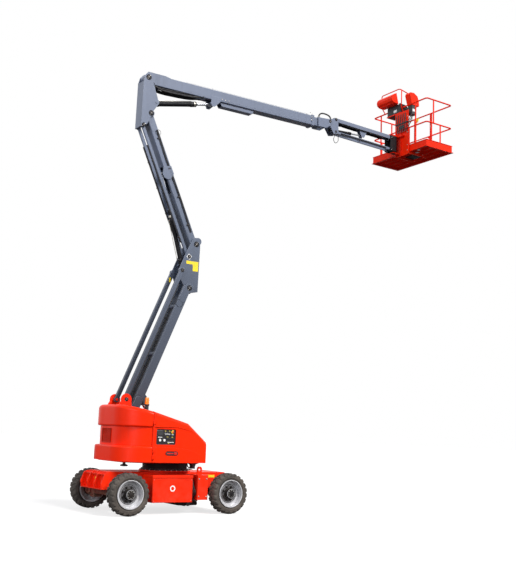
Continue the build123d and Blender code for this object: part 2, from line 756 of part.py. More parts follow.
def upper_riser():
    """The upper riser's box section with its pin bosses and the lift cylinder's bracket."""
    at = along(upper_foot, head)
    riser = box_tube(at, -80, upper_length + 80, upper_shift, 0, upper_width, upper_depth, 8, 12)
    riser += pin_y(upper_foot, 58, -mid_inner + gap, mid_inner - gap)
    riser += pin_y(head, 58, -top_inner + gap, top_inner - gap)
    half = upper_width / 2
    bracket = plate_y([at(1310, 50), at(1310, 108), at(1370, 178), at(1450, 178), at(1570, 108), at(1540, -45),
                       at(1380, -45)], half + bracket_pad, half + bracket_pad + 8)
    bracket += plate_y([at(1330, 50), at(1330, 100), at(1560, 100), at(1530, -35), at(1390, -35)], half,
                       half + bracket_pad)
    bracket += pin_y(upper_eye, 36, lug_inner, half + bracket_pad + 8)
    for u0, u1 in ((-60, 330), (upper_length - 330, upper_length + 60)):
        bracket += slab(at, u0, u1, upper_shift - 62, upper_shift + 62, half, half + cheek)
    riser += both(bracket)
    slot = slab(at, 1060, 1570, 60, 130, -barrel_radius - 2, barrel_radius + 2)
    for pin in (upper_foot, head):
        riser -= pin_y(pin, riser_pin + fit, -mid_inner, mid_inner)
    return riser - slot


def top_knuckle():
    """The knuckle between upper riser and boom: two plates, a rear wall and four pins."""
    x, z = head
    outline = [(-190, 596), (-156, 722), (-98, 787), (-6, 644), (120, 303), (127, 187), (41, 49), (-22, -122),
               (-77, -231), (-197, -297)]
    plate = plate_y([(x + dx, z + dz) for dx, dz in outline], top_inner, top_outer)
    plate += pin_y(boom_root, 70, top_inner, top_outer)
    plate += pin_y(luff_base, 60, top_inner, top_outer)
    plate += pin_y(head, 66, top_inner, top_outer)
    wall = plate_y([(x - 197, z - 290), (x - 190, z + 590), (x - 180, z + 590), (x - 187, z - 290)],
                   -top_inner, top_inner)
    pins = pin_y(head, riser_pin, -top_outer - 6, top_outer + 6)
    pins += pin_y(link_head, link_pin, -top_outer - 6, top_outer + 6)
    pins += pin_y(boom_root, riser_pin, -top_outer - 6, top_outer + 6)
    pins += pin_y(luff_base, link_pin, -top_outer - 6, top_outer + 6)
    return both(plate) + wall + pins


# ---------------------------------------------------------------- boom and jib
def boom_line():
    """Places along the main boom: u from its root pin, v above its centreline."""
    start = shift(boom_root, 0, -boom_drop)
    return along(start, polar(start, boom_end, boom_angle))


def main_boom():
    """The main boom tube with its root boss, rod lug, hose tray and nose collar."""
    at = boom_line()
    half = boom_width / 2
    boom = box_tube(at, 130, boom_end, 0, 0, boom_width, boom_depth, boom_wall, 14)
    root = [at(-66, 30), at(0, 126), at(360, 126), at(470, boom_depth / 2), at(470, -40), at(160, -62), at(60, -60)]
    root_plates = plate_y(root, half - 20, half)
    root_plates -= pin_y(boom_root, riser_pin + fit, 0, top_outer)
    boss = pin_y(boom_root, 62, -half, half) - pin_y(boom_root, riser_pin + fit, -top_outer, top_outer)
    root_top = slab(at, 20, 380, boom_depth / 2, 118, -half + 20, half - 20)
    closer = slab(at, 130, 142, -boom_depth / 2 + 6, boom_depth / 2 - 6, -half + 6, half - 6)
    boom = boom - slab(at, 120, 300, -boom_depth, -46, -half + 20, half - 20)
    boom += both(root_plates) + boss + root_top
    low = -boom_depth / 2
    lug = plate_y([at(1372, low + 80), at(1372, low), at(1385, -235), at(1455, -235), at(1590, low), at(1590, low + 80)],
                  half, half + 8)
    lug += pin_y(luff_eye, 42, lug_inner, half + 8)
    boom += both(lug)
    tray = plate_y([at(1590, low), at(1640, low - 76), at(2360, low - 76), at(2400, low)], -70, 70)
    tray -= slab(at, 1600, 2500, low - 70, low - 1, -64, 64)
    collar = box_tube(at, boom_end - collar_length, boom_end, 0, 0, boom_width + 26, boom_depth + 24, 15, 10)
    slot = slab(at, 1280, 1500, low - 30, low + 30, -eye_half - gap, eye_half + gap)
    return (boom + tray + collar) - slot


def boom_extension():
    """The telescoping tube with its bolted nose and the fork that holds the levelling pin."""
    at = boom_line()
    tube = box_tube(at, extension_tail, extension_end, 0, 0, extension_width, extension_depth, 8, 8)
    nose = box_tube(at, extension_end - 90, extension_end, 0, 0, 2 * nose_outer, extension_depth + 26, 21, 10)
    nose += slab(at, extension_end - 14, extension_end, -92, 92, -extension_width / 2 + 4, extension_width / 2 - 4)
    fork = plate_y([at(extension_end - 6, -98), at(extension_end - 6, 98), at(extension_end + 190, 112),
                    at(extension_end + 262, 70), at(extension_end + 240, -20), at(extension_end + 120, -98)],
                   fork_inner, nose_outer)
    fork += pin_y(tilt_pin, 56, fork_inner, nose_outer)
    pin = pin_y(tilt_pin, jib_pin, -nose_outer - 5, nose_outer + 5)
    return tube + nose + both(fork) + pin


def level_bracket():
    """The bracket that stays level at the boom's nose and carries the jib's two root pins."""
    x, z = tilt_pin
    plate = plate_y([(x + 5, z + 66), (x + 232, z + 116), (x + 248, z - 216), (x + 120, z - 242), (x - 20, z - 46)],
                    jib_plate_inner, jib_plate_outer)
    plate += pin_y(tilt_pin, 52, jib_plate_inner, jib_plate_outer)
    plate += pin_y(jib_root, jib_pin, jib_stub, jib_plate_outer + 4)
    plate += pin_y(jib_link_root, jib_pin, jib_stub, jib_plate_outer + 4)
    bridge = block(x + 22, x + 34, -jib_plate_inner, jib_plate_inner, z - 118, z - 52)
    base = pin_y(jib_base, jib_pin, -jib_plate_outer, jib_plate_outer)
    body = both(plate) + bridge + base
    return body - pin_y(tilt_pin, jib_pin + fit, -nose_outer, nose_outer)


def jib_beam():
    """The jib's upper beam: an inverted channel with pin bosses and the cylinder's lug."""
    at = along(jib_root, jib_tip)
    half = jib_beam_half
    depth = jib_beam_depth / 2
    beam = slab(at, -28, jib_length + 28, -depth, depth, -half, half)
    beam -= slab(at, -50, jib_length + 50, -depth - 1, depth - jib_wall, -half + jib_wall, half - jib_wall)
    for point in (jib_root, jib_tip):
        beam += both(pin_y(point, 40, half - 22, half))
    lug = plate_y([at(700, depth - 2), at(700, -depth), at(775, -190), at(845, -190), at(920, -depth),
                   at(920, depth - 2)], eye_half + 2, eye_half + 10)
    lug += pin_y(jib_eye, 34, eye_half + 2, eye_half + 10)
    beam += both(lug)
    for point in (jib_root, jib_tip):
        beam -= pin_y(point, jib_pin + fit, -half - 1, half + 1)
    return beam


def jib_head():
    """The jib's end plates and the black rotator housing."""
    x, z = jib_tip
    plate = plate_y([(x - 42, z + 44), (rotator_x, z + 44), (rotator_x, z - jib_height - 44),
                     (x - 42, z - jib_height - 44)], jib_plate_inner, jib_plate_outer)
    plate += pin_y(jib_tip, jib_pin, jib_stub, jib_plate_outer + 4)
    plate += pin_y(jib_link_tip, jib_pin, jib_stub, jib_plate_outer + 4)
    housing = post(rotator_x, 0, rotator_radius, z - jib_height - 44, z + 44)
    tube_web = block(x + 62, rotator_x, -jib_plate_inner, jib_plate_inner, z - jib_height - 30, z + 30)
    shaft = post(rotator_x, 0, 40, z - jib_height - 78, z + 96)
    return both(plate) + housing + tube_web + shaft


# ---------------------------------------------------------------- platform
column_x = platform_inner - 15 - column_depth
console_front, console_back = platform_inner - 52, platform_inner + 214
console_near, console_far = -100.0, 340.0


def bent_tube(points, radius, bend):
    """A round tube that follows corner points with a bend at each."""
    path = FilletPolyline(*points, radius=bend)
    return sweep(Plane(origin=path @ 0, z_dir=path % 0) * Circle(radius), path=path)


def guard_frame():
    """The bent tube over the controls, from the far rail along their front and down the near side."""
    x = platform_inner
    z = platform_bottom
    y0, y1 = console_near - guard_radius - 1, 484
    front, back, high, low = x - 100, x + 190, z + 1530, z + tray_height + 10
    frame = bent_tube([(x, y1, z + top_rail + 13), (front, y1, z + 1250), (front, y1, high), (front, y0, high),
                       (back, y0, high - 55), (back, y0, low)], guard_radius, 45)
    frame += bent_tube([(front + 60, y0, high - 12), (front + 60, y0, z + 1110), (x + 40, y0, low)],
                       guard_radius, 45)
    return frame


def platform_support():
    """The upright channel beside the rotator with its arms, feet, console tray and guard frame."""
    x, z = jib_tip
    z0 = platform_bottom
    low, high, tray = z0 - 50, z + 230, z0 + tray_height
    column = block(column_x, column_x + column_depth, column_near, column_far, low, high)
    column -= block(column_x - 1, column_x + column_depth - 10, column_near + 10, column_far - 10, low - 1, high + 1)
    column += block(column_x, column_x + column_depth, -124, -114, low, high)
    column += block(column_x, column_x + column_depth, column_near, column_far, high - 10, high)
    column += block(column_x, column_x + 10, column_near, column_far, high - 10, tray + 10)
    arms = block(rotator_x - 70, column_x + 20, -70, 60, z + 44 + gap, z + 44 + gap + 34)
    arms += block(rotator_x - 70, column_x + 20, -70, 60, z - jib_height - 44 - gap - 22, z - jib_height - 44 - gap)
    arms += block(column_x - 30, column_x + 20, -215, 60, z + 44 + gap, z + 44 + gap + 34)
    arms -= post(rotator_x, 0, 40 + fit, z - 600, z + 600)
    for y in (column_near + 4, column_far - 24):
        arms += block(column_x, platform_inner + 520, y, y + 20, low, z0)
    x0, x1 = console_front - 12, console_back + 12
    lip = block(x0, x1, console_near - 12, console_far + 12, tray, tray + 22)
    lip -= block(console_front, console_back, console_near, console_far, tray - 1, tray + 23)
    lip += block(x0 + 132, x0 + 172, console_near - 160, console_near - 2, tray, tray + 20)
    return column + arms + lip + guard_frame()


def platform_floor():
    """The floor tray: plate, cross ribs, toe boards and the flange round its lower edge."""
    x0, x1, y1 = platform_inner, platform_outer, platform_half
    z0 = platform_bottom
    top = z0 + toe_height
    tray = block(x0, x1, -y1, y1, z0 + 8, top) - block(x0 + sheet, x1 - sheet, -y1 + sheet, y1 - sheet, z0, top + 1)
    tray += block(x0, x1, -y1, y1, z0 + 56, z0 + 62)
    for x in (x0 + 200, x0 + 400, x0 + 600):
        tray += block(x - 4, x + 4, -y1 + 2, y1 - 2, z0 + 10, z0 + 58)
    for y in (-450, 0, 450):
        tray += block(x0 + 2, x1 - 2, y - 4, y + 4, z0 + 22, z0 + 58)
    out = flange_reach
    flange = block(x0 - out, x1 + out, -y1 - out, y1 + out, z0, z0 + 8)
    flange -= block(x0 + 24, x1 - 24, -y1 + 24, y1 - 24, z0 - 1, z0 + 9)
    flange -= block(x0 - out - 1, x0 - 12, column_near - gap, column_far + gap, z0 - 1, z0 + 9)
    slots = []
    for index in range(-5, 6):
        y = index * slot_pitch
        slots.append(block(x1 + 6, x1 + out - 6, y - slot_length / 2, y + slot_length / 2, z0 - 1, z0 + 9))
        if not column_near - slot_length < y < column_far + slot_length:
            slots.append(block(x0 - out + 6, x0 - 6, y - slot_length / 2, y + slot_length / 2, z0 - 1, z0 + 9))
    for index in range(-2, 3):
        x = (x0 + x1) / 2 + index * slot_pitch
        slots.append(block(x - slot_length / 2, x + slot_length / 2, y1 + 6, y1 + out - 6, z0 - 1, z0 + 9))
        slots.append(block(x - slot_length / 2, x + slot_length / 2, -y1 - out + 6, -y1 - 6, z0 - 1, z0 + 9))
    flange -= slots
    lip = block(x0 - 8, x1 + 8, -y1 - 8, y1 + 8, top - 10, top)
    lip -= block(x0 + sheet, x1 - sheet, -y1 + sheet, y1 - sheet, top - 11, top + 1)
    return tray + flange + lip


def rail_run(points, z):
    """A tube bent through corner points at one height."""
    return bent_tube([(x, y, z) for x, y in points], rail_radius, rail_bend)


def platform_rails():
    """Top and middle rails round the platform, open at the gate, on their posts."""
    x0, x1, y1 = platform_inner + 10, platform_outer - 10, platform_half - 10
    z0 = platform_bottom
    top, mid, toe = z0 + top_rail, z0 + mid_rail, z0 + toe_height
    loop = [(x1, gate_near), (x1, -y1), (x0, -y1), (x0, y1), (x1, y1), (x1, gate_far)]
    rails = rail_run(loop, top) + rail_run(loop, mid)
    posts = [(x1, gate_near, toe, top), (x1, gate_far, toe, top), (x0 + 210, -y1, mid, top),
             (x0 + 420, -y1, toe, mid), (x0 + 250, y1, toe, mid), (x0 + 560, y1, mid, top), (x0, -520, toe, top),
             (x0, 620, toe, top)]
    for x, y, low, high in posts:
        rails += post(x, y, rail_radius, low, high)
    return rails


def gate():
    """The entry gate: a tube frame with a middle bar and a latch gusset."""
    x = platform_outer - 10
    z0 = platform_bottom + toe_height + 22
    z1 = platform_bottom + top_rail
    near, far = gate_near + 2 * rail_radius + gap, gate_far - 2 * rail_radius - gap
    frame = bent_tube([(x, near, z1), (x, near, z0), (x, far, z0), (x, far, z1)], rail_radius - 2, 40)
    frame += bar((x, near - rail_radius, z1), (x, far + rail_radius, z1), rail_radius - 1)
    frame += bar((x, near, platform_bottom + mid_rail), (x, far, platform_bottom + mid_rail), rail_radius - 3)
    gusset = plate_x([(far - 110, z1 - 10), (far, z1 - 10), (far, z1 - 130)], x - 3, x + 3)
    gusset += plate_x([(near + 110, platform_bottom + mid_rail), (near, platform_bottom + mid_rail),
                       (near, platform_bottom + mid_rail - 90)], x - 3, x + 3)
    return frame + gusset


def rail_room():
    """The room that the inner top rail needs where it passes through the controls."""
    z = platform_bottom + top_rail
    return bar((platform_inner + 10, -500, z), (platform_inner + 10, 600, z), rail_radius + 1)


def console():
    """The black platform control box in its tray, the small box beside it and the drive stick."""
    x = platform_inner
    z = platform_bottom + tray_height
    body = block(console_front + 1, console_back - 1, console_near + 1, console_far - 1, z, z + 230)
    body -= plate_y([(console_back, z + 160), (console_back, z + 231), (console_back - 120, z + 231)],
                    console_near, console_far)
    body += post(x + 60, 40, 9, z + 229, z + 285) + Pos(x + 60, 40, z + 292) * Sphere(20)
    body -= rail_room()
    small = block(x + 20, x + 150, console_near - 300, console_near - 160, z - 85, z + 130)
    return body + small


def console_hoods():
    """The curved red shell in front of the controls and the small hood over the box beside them."""
    x = platform_inner
    z = platform_bottom
    left = plate_y([(x - 65, z + 1200), (x - 200, z + 1206), (x - 256, z + 1240), (x - 272, z + 1296),
                    (x - 256, z + 1356), (x - 205, z + 1408), (x - 128, z + 1446)], -40, 470)
    left -= plate_y([(x - 50, z + 1212), (x - 197, z + 1217), (x - 247, z + 1247), (x - 261, z + 1297),
                     (x - 246, z + 1350), (x - 198, z + 1398), (x - 112, z + 1440)], -30, 460)
    left += block(x - 210, console_front + 1, 0, 440, z + 1195, z + 1206)
    y0, y1 = console_near - 310, console_near - 150
    low = z + tray_height + 131
    right = plate_y([(x - 60, low + 232), (x - 40, low + 278), (x + 60, low + 284), (x + 168, low + 230),
                     (x + 214, low + 130), (x + 222, low), (x + 10, low)], y0, y1)
    right -= plate_y([(x - 54, low + 224), (x - 34, low + 268), (x + 57, low + 274), (x + 160, low + 223),
                      (x + 204, low + 128), (x + 212, low + 10), (x + 16, low + 10)], y0 + 10, y1 - 10)
    return left + (right - rail_room())


# ---------------------------------------------------------------- export
parts = {
    "chassis_frame": chassis_frame(),
    "side_boxes": side_boxes(),
    "belly_pan": belly_pan(),
    "steer_axle": steer_axle(),
    "drive_axle": drive_axle(),
    "knuckle_near": knuckle(-1),
    "knuckle_far": knuckle(1),
    "tie_rod": tie_rod(),
    "slew_ring": slew_ring(),
    "turret_frame": turret_frame(),
    "counterweight": weight_blocks(),
    "tail_cover": tail_cover(),
    "hood_near": hood(-1),
    "hood_far": hood(1),
    "ground_controls": ground_controls(),
    "power_block": power_block(),
    "beacon": beacon(),
    "lower_riser": lower_riser(),
    "lower_links": link_pair(link_foot, link_knee, arm_inner, arm_outer, lower_link_depth, link_pin, 48),
    "mid_knuckle": mid_knuckle(),
    "upper_riser": upper_riser(),
    "upper_links": link_pair(upper_link_foot, link_head, upper_link_inner, upper_link_outer, upper_link_depth,
                             link_pin, 36),
    "top_knuckle": top_knuckle(),
    "main_boom": main_boom(),
    "boom_extension": boom_extension(),
    "level_bracket": level_bracket(),
    "jib_beam": jib_beam(),
    "jib_links": link_pair(jib_link_root, jib_link_tip, jib_link_inner, jib_link_outer, jib_link_depth, jib_pin, 34),
    "jib_head": jib_head(),
    "platform_support": platform_support(),
    "platform_floor": platform_floor(),
    "platform_rails": platform_rails(),
    "gate": gate(),
    "console": console(),
    "console_hoods": console_hoods(),
}
# name, base pin, rod eye, barrel radius, rod radius, base pin radius, barrel length, rod length
cylinders = (
    ("lower_lift", lower_base, lower_eye, barrel_radius, rod_radius, link_pin, 590, 605),
    ("upper_lift", upper_base, upper_eye, barrel_radius - 8, rod_radius, link_pin, 1040, 812),
    ("luff", luff_base, luff_eye, barrel_radius, rod_radius, link_pin, 925, 960),
    ("jib_lift", jib_base, jib_eye, jib_barrel_radius, jib_rod_radius, jib_pin, 580, 590),
)
for name, base, eye, radius, rod, base_pin, barrel_length, rod_length in cylinders:
    barrel, piston = cylinder_pair(base, eye, radius, rod, base_pin, barrel_length, rod_length)
    parts[name + "_barrel"] = barrel
    parts[name + "_rod"] = piston

tyre_shape, rim_shape = tyre(), rim()
corners = (("steer_near", -wheel_x, -1), ("steer_far", -wheel_x, 1), ("drive_near", wheel_x, -1),
           ("drive_far", wheel_x, 1))
for name, x, side in corners:
    parts["tyre_" + name] = wheel_place(x, side) * tyre_shape
    parts["rim_" + name] = wheel_place(x, side) * rim_shape

os.makedirs("parts", exist_ok=True)
for name, shape in parts.items():
    export_step(shape, os.path.join("parts", name + ".step"))
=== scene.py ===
# %% [markdown]
# # An articulating boom lift
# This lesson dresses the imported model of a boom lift: a wheeled chassis, a turret with moulded covers, two folding
# risers, a telescoping boom, a jib and a work platform. The rigid pieces arrive finished from CAD and are never
# moved. We give them paint, rubber and chrome, and add what is too fine for the CAD model: tread, bolts, pins,
# hoses, gauges and labels. Every length is in metres, with +X towards the platform and +Z up.

# %% Load the frame
import json
import math

import bmesh
import bpy
from mathutils import Matrix, Vector


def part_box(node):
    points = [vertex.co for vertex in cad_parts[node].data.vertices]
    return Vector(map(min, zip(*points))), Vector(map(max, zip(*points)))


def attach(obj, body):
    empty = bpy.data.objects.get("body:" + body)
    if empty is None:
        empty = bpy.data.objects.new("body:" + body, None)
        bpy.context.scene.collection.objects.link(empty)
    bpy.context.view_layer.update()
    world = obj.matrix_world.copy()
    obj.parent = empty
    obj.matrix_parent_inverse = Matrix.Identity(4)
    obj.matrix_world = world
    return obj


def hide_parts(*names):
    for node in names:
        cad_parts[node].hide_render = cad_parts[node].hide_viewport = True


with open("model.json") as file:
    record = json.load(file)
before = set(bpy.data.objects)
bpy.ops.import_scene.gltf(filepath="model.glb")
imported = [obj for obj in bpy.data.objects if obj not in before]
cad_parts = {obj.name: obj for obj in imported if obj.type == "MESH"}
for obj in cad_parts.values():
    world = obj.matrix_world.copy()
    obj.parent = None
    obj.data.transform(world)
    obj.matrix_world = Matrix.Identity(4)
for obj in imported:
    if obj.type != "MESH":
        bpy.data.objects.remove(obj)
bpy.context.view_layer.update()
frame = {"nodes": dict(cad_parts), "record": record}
record = frame["record"]
slot_of = {row["node"]: row["material_slot"] for row in record["subparts"]}
pivot = {joint["name"]: Vector(joint["pos_m"]) for joint in record["behaviour"]["joints"] if "pos_m" in joint}

# %% [markdown]
# ## Camera
# The machine is seen from its near rear corner, from eye height, with the lens looking slightly up at the platform.
# A perspective camera is set from a yaw, a pitch and a roll, so each can be changed alone. The image is taller than
# wide, and Blender measures the sensor along the longer side.

# %% Camera
eye = Vector((-7.602, -14.272, 1.467))
yaw, pitch, roll = math.radians(33.905), math.radians(8.910), math.radians(2.043)
focal_ratio = 1.500904437  # focal length as a share of the sensor's width

forward = Vector((math.sin(yaw) * math.cos(pitch), math.cos(yaw) * math.cos(pitch), math.sin(pitch)))
level_right = Vector((math.cos(yaw), -math.sin(yaw), 0))
level_up = level_right.cross(forward)
right = math.cos(roll) * level_right + math.sin(roll) * level_up
up = math.cos(roll) * level_up - math.sin(roll) * level_right
camera = bpy.data.objects.new("camera", bpy.data.cameras.new("camera"))
camera.data.sensor_width = 36
camera.data.lens = focal_ratio * camera.data.sensor_width
camera.data.clip_end = 200
camera.matrix_world = Matrix((right, up, -forward)).transposed().to_4x4()
camera.location = eye
bpy.context.scene.collection.objects.link(camera)
bpy.context.scene.camera = camera
print("lens", round(camera.data.lens, 2), "mm")

# %% [markdown]
# ## Shader sums
# A material is a small program. Wiring its nodes one at a time hides the idea, so one class wraps a socket and lets
# us write sums on values as Python sums: each operator adds a Math node. Every other node comes from one method that
# takes the node's type, its settings and what its sockets are fed with.

# %% A socket that can be added and multiplied
def feed(tree, socket, value):
    """Gives a socket a link if the value is a Wire, and a plain value otherwise."""
    if isinstance(value, Wire):
        tree.links.new(value.socket, socket)
    elif hasattr(socket.default_value, "__len__") and not hasattr(value, "__len__"):
        socket.default_value = [value] * len(socket.default_value)
    elif hasattr(value, "__len__") and len(socket.default_value) > len(value):
        socket.default_value = [*value, 1]
    else:
        socket.default_value = value


class Wire:
    """One output socket, on which sums are written as in Python."""

    def __init__(self, tree, socket):
        self.tree, self.socket = tree, socket

    def math(self, operation, first, second, clamp=False):
        node = self.tree.nodes.new("ShaderNodeMath")
        node.operation, node.use_clamp = operation, clamp
        feed(self.tree, node.inputs[0], first)
        feed(self.tree, node.inputs[1], second)
        return Wire(self.tree, node.outputs[0])

    def __sub__(self, other):
        return self.math("SUBTRACT", self, other)

    def __rsub__(self, other):
        return self.math("SUBTRACT", other, self)

    def __add__(self, other):
        return self.math("ADD", self, other)

    def __mul__(self, other):
        return self.math("MULTIPLY", self, other)

    def __truediv__(self, other):
        return self.math("DIVIDE", self, other)

    def held(self):
        """The value kept between 0 and 1."""
        return self.math("ADD", self, 0.0, clamp=True)

    __radd__ = __add__
    __rmul__ = __mul__


# %% A material that is written as a program
class Finish:
    """A material under construction, or a world if one is given."""

    def __init__(self, name, world=None):
        self.material = world or bpy.data.materials.new(name)
        self.material.use_nodes = True
        self.tree = self.material.node_tree
        self.tree.nodes.clear()
        self.place = self.node("ShaderNodeTexCoord", out="Object")

    def node(self, kind, settings=None, out=0, **sockets):
        """Any node: its settings first, then the values or links of its sockets. Gives one output as a Wire."""
        made = self.tree.nodes.new(kind)
        for key, value in (settings or {}).items():
            if key == "stops":
                ramp = made.color_ramp.elements
                while len(ramp) < len(value):
                    ramp.new(0.5)
                for element, (position, colour) in zip(ramp, value):
                    element.position, element.color = position, (*colour, 1)
            else:
                setattr(made, key, value)
        for key, value in sockets.items():
            name = key.replace("_", " ")
            socket = next(s for s in made.inputs if s.enabled and name in (s.name, s.identifier.replace("_", " ")))
            feed(self.tree, socket, value)
        outputs = [s for s in made.outputs if s.enabled]
        return Wire(self.tree, outputs[out] if isinstance(out, int) else next(s for s in outputs if s.name == out))

    def noise(self, scale, detail=4.0, rough=0.55, low=0.0, high=1.0, place=None):
        """Clouds between two of their levels, stretched to run from 0 to 1."""
        cloud = self.node("ShaderNodeTexNoise", Vector=place or self.place, Scale=scale, Detail=detail,
                          Roughness=rough)
        return ((cloud - low) / (high - low)).held()

    def mix(self, under, over, share):
        """One colour laid over another."""
        return self.node("ShaderNodeMix", {"data_type": "RGBA"}, Factor=share, A=under, B=over)

    def axis(self, letter):
        """One coordinate of the place on the surface, in metres in the model's own frame."""
        return self.node("ShaderNodeSeparateXYZ", out=letter, Vector=self.place)

    def stretched(self, x, y, z):
        """The place with each axis scaled, for marks that run one way."""
        return self.node("ShaderNodeVectorMath", {"operation": "MULTIPLY"}, Vector=self.place, Vector_001=(x, y, z))

    def edges(self, radius=0.006):
        """1 on sharp edges and 0 on flats, from the angle between the true and the rounded normal."""
        soft = self.node("ShaderNodeBevel", {"samples": 4}, Radius=radius)
        true = self.node("ShaderNodeNewGeometry", out="Normal")
        same = self.node("ShaderNodeVectorMath", {"operation": "DOT_PRODUCT"}, out="Value", Vector=soft,
                         Vector_001=true)
        return ((1.0 - same) * 6.0).held(), soft

    def worn(self, base, colour, share, radius=0.004):
        """A lighter colour laid on the edges, partly as wear and partly as a painted highlight, and the rounded
        normal.
        """
        edge, soft = self.edges(radius)
        return self.mix(base, colour, edge * share), soft

    def relief(self, height, depth, normal=None):
        """A bump from a height that runs from 0 to 1, as deep as depth."""
        extra = {} if normal is None else {"Normal": normal}
        return self.node("ShaderNodeBump", Height=height, Distance=depth, Strength=1.0, **extra)

    def end(self, shader, kind="ShaderNodeOutputMaterial"):
        """Sends a shader to the output."""
        self.tree.links.new(shader.socket, self.tree.nodes.new(kind).inputs[0])
        return self.material

    def done(self, **sockets):
        """Ends the material in the main shader with these sockets."""
        return self.end(self.node("ShaderNodeBsdfPrincipled", **sockets))


def rgb(red, green, blue):
    """A colour as the screen shows it, from 0 to 255, turned into the light values that a shader takes."""
    def light(value):
        value /= 255
        return value / 12.92 if value <= 0.04045 else ((value + 0.055) / 1.055) ** 2.4
    return (light(red), light(green), light(blue))


# %% [markdown]
# ## Painted steel
# The chassis and platform are welded steel under orange-red enamel. Enamel is smooth but never flat: it has a fine
# orange peel, its colour drifts a little from panel to panel, dust settles low down, and edges wear thin to a darker
# line. One function mixes all of that, so each paint differs only in its colours and its gloss.

# %% Paint
def paint(name, colour, dark, rough=0.36, coat=0.06, dust=0.0, peel=0.0006, wear=0.5, dust_top=0.9, shine=0.12):
    f = Finish(name)
    drift = f.noise(1.7, 3.0, low=0.3, high=0.7)
    base = f.mix(colour, dark, drift * 0.35)
    edge, soft = f.edges()
    chips = f.noise(38.0, 5.0, 0.7, 0.45, 0.62)
    base = f.mix(base, [v * 0.45 for v in dark], edge * chips * wear)
    streaks = f.noise(9.0, 4.0, 0.6, 0.52, 0.75, f.stretched(1.0, 1.0, 0.12))
    base = f.mix(base, [v * 0.6 for v in dark], streaks * 0.16)
    dirt = (1.0 - f.axis("Z") / dust_top).held() * f.noise(6.0, 6.0, 0.65, 0.35, 0.7) * dust
    base = f.mix(base, rgb(150, 132, 112), dirt)
    grain = f.noise(420.0, 2.0)
    return f.done(Base_Color=base, Roughness=rough + drift * 0.1 + dirt * 0.4 + streaks * 0.06,
                  Coat_Weight=coat, Coat_Roughness=0.12, Specular_IOR_Level=shine, Normal=f.relief(grain, peel, soft))


finishes = {
    "red_paint": paint("red_enamel", rgb(255, 46, 8), rgb(228, 30, 6), dust=0.16),
    "dark_red_paint": paint("dusty_dark_red", rgb(120, 24, 20), rgb(72, 16, 14), 0.5, 0.0, 0.9, wear=0.9),
    "red_cover": paint("gloss_red_cover", rgb(255, 46, 4), rgb(248, 36, 2), 0.28, 0.06, 0.0, 0.0003, 0.1),
    "cast_weight": paint("painted_casting", rgb(190, 36, 16), rgb(140, 26, 12), 0.5, 0.0, 0.2, 0.002),
    "black_paint": paint("satin_black", rgb(30, 30, 33), rgb(18, 18, 20), 0.42, 0.05, 0.2),
    "power_units": paint("dull_grey", rgb(92, 92, 96), rgb(60, 60, 64), 0.6, 0.0, 0.2),
}
print("paints:", ", ".join(finishes))

# %% [markdown]
# ## The arm's blue-grey enamel, with painted shade
# The arm wears one blue-grey enamel from foot to nose. Shade is painted into it: a ramp along the height at rest makes
# the lower arms darker and the same paint paler higher up, as the light falls on them. The ramp can use the height at
# rest because the coordinates belong to each piece and stay with it when the arm moves.

# %% Grey enamel
def arm_paint():
    f = Finish("blue_grey_enamel_painted_shade")
    # Painted shade: this ramp by height at rest darkens the enamel low on the arm and pales it higher up.
    painted_shade_height = f.axis("Z") / 9.4
    ramp = f.node("ShaderNodeValToRGB", {"stops": [
        (0.17, rgb(38, 43, 54)), (0.40, rgb(74, 82, 99)), (0.52, rgb(92, 102, 121)), (0.68, rgb(113, 123, 146)),
    ]}, out="Color", Fac=painted_shade_height)
    drift = f.noise(1.3, 3.0, low=0.3, high=0.7)
    base = f.mix(ramp, rgb(70, 80, 100), drift * 0.22)
    edge, soft = f.edges(0.005)
    chips = f.noise(34.0, 5.0, 0.7, 0.42, 0.6)
    # Every edge is painted paler as a highlight, and paler still where the chips noise marks worn paint.
    base = f.mix(base, rgb(196, 202, 214), edge * (0.35 + chips * 0.3))
    streaks = f.noise(8.0, 5.0, 0.65, 0.5, 0.78, f.stretched(1.0, 1.0, 0.1))
    base = f.mix(base, rgb(44, 50, 62), streaks * 0.22)
    grain = f.noise(380.0, 2.0)
    return f.done(Base_Color=base, Roughness=0.34 + drift * 0.12 + streaks * 0.1, Coat_Weight=0.15,
                  Coat_Roughness=0.12, IOR=1.48, Normal=f.relief(grain, 0.0007, soft))


finishes["grey_paint"] = arm_paint()

# %% [markdown]
# ## Rubber, rims, chrome, plastic and lens
# Tyre rubber is dull and brown with dust in the low places. The rims are silver-white enamel with brake dust round
# the middle. Hard chrome is a metal, nearly a mirror, with fine rings from the seal. Moulded black plastic has a fine
# leather grain. The beacon's lens is a clear amber plastic, which a little glow inside keeps bright in daylight.

# %% Rubber and rims
def rubber():
    f = Finish("dusty_rubber")
    worn = f.noise(5.0, 5.0, 0.6, 0.35, 0.7)
    base = f.mix(rgb(52, 48, 47), rgb(98, 90, 84), worn * 0.8)
    mottle = f.noise(60.0, 6.0, 0.7, 0.4, 0.65)
    base = f.mix(base, rgb(128, 118, 106), mottle * 0.28)
    # The tyre's edges are painted lighter: partly scuffed rubber, partly a painted highlight.
    base, soft = f.worn(base, rgb(136, 127, 118), 0.4)
    grain = f.noise(240.0, 4.0)
    return f.done(Base_Color=base, Roughness=0.78 + mottle * 0.14, Specular_IOR_Level=0.3,
                  Normal=f.relief(grain, 0.0015, soft))


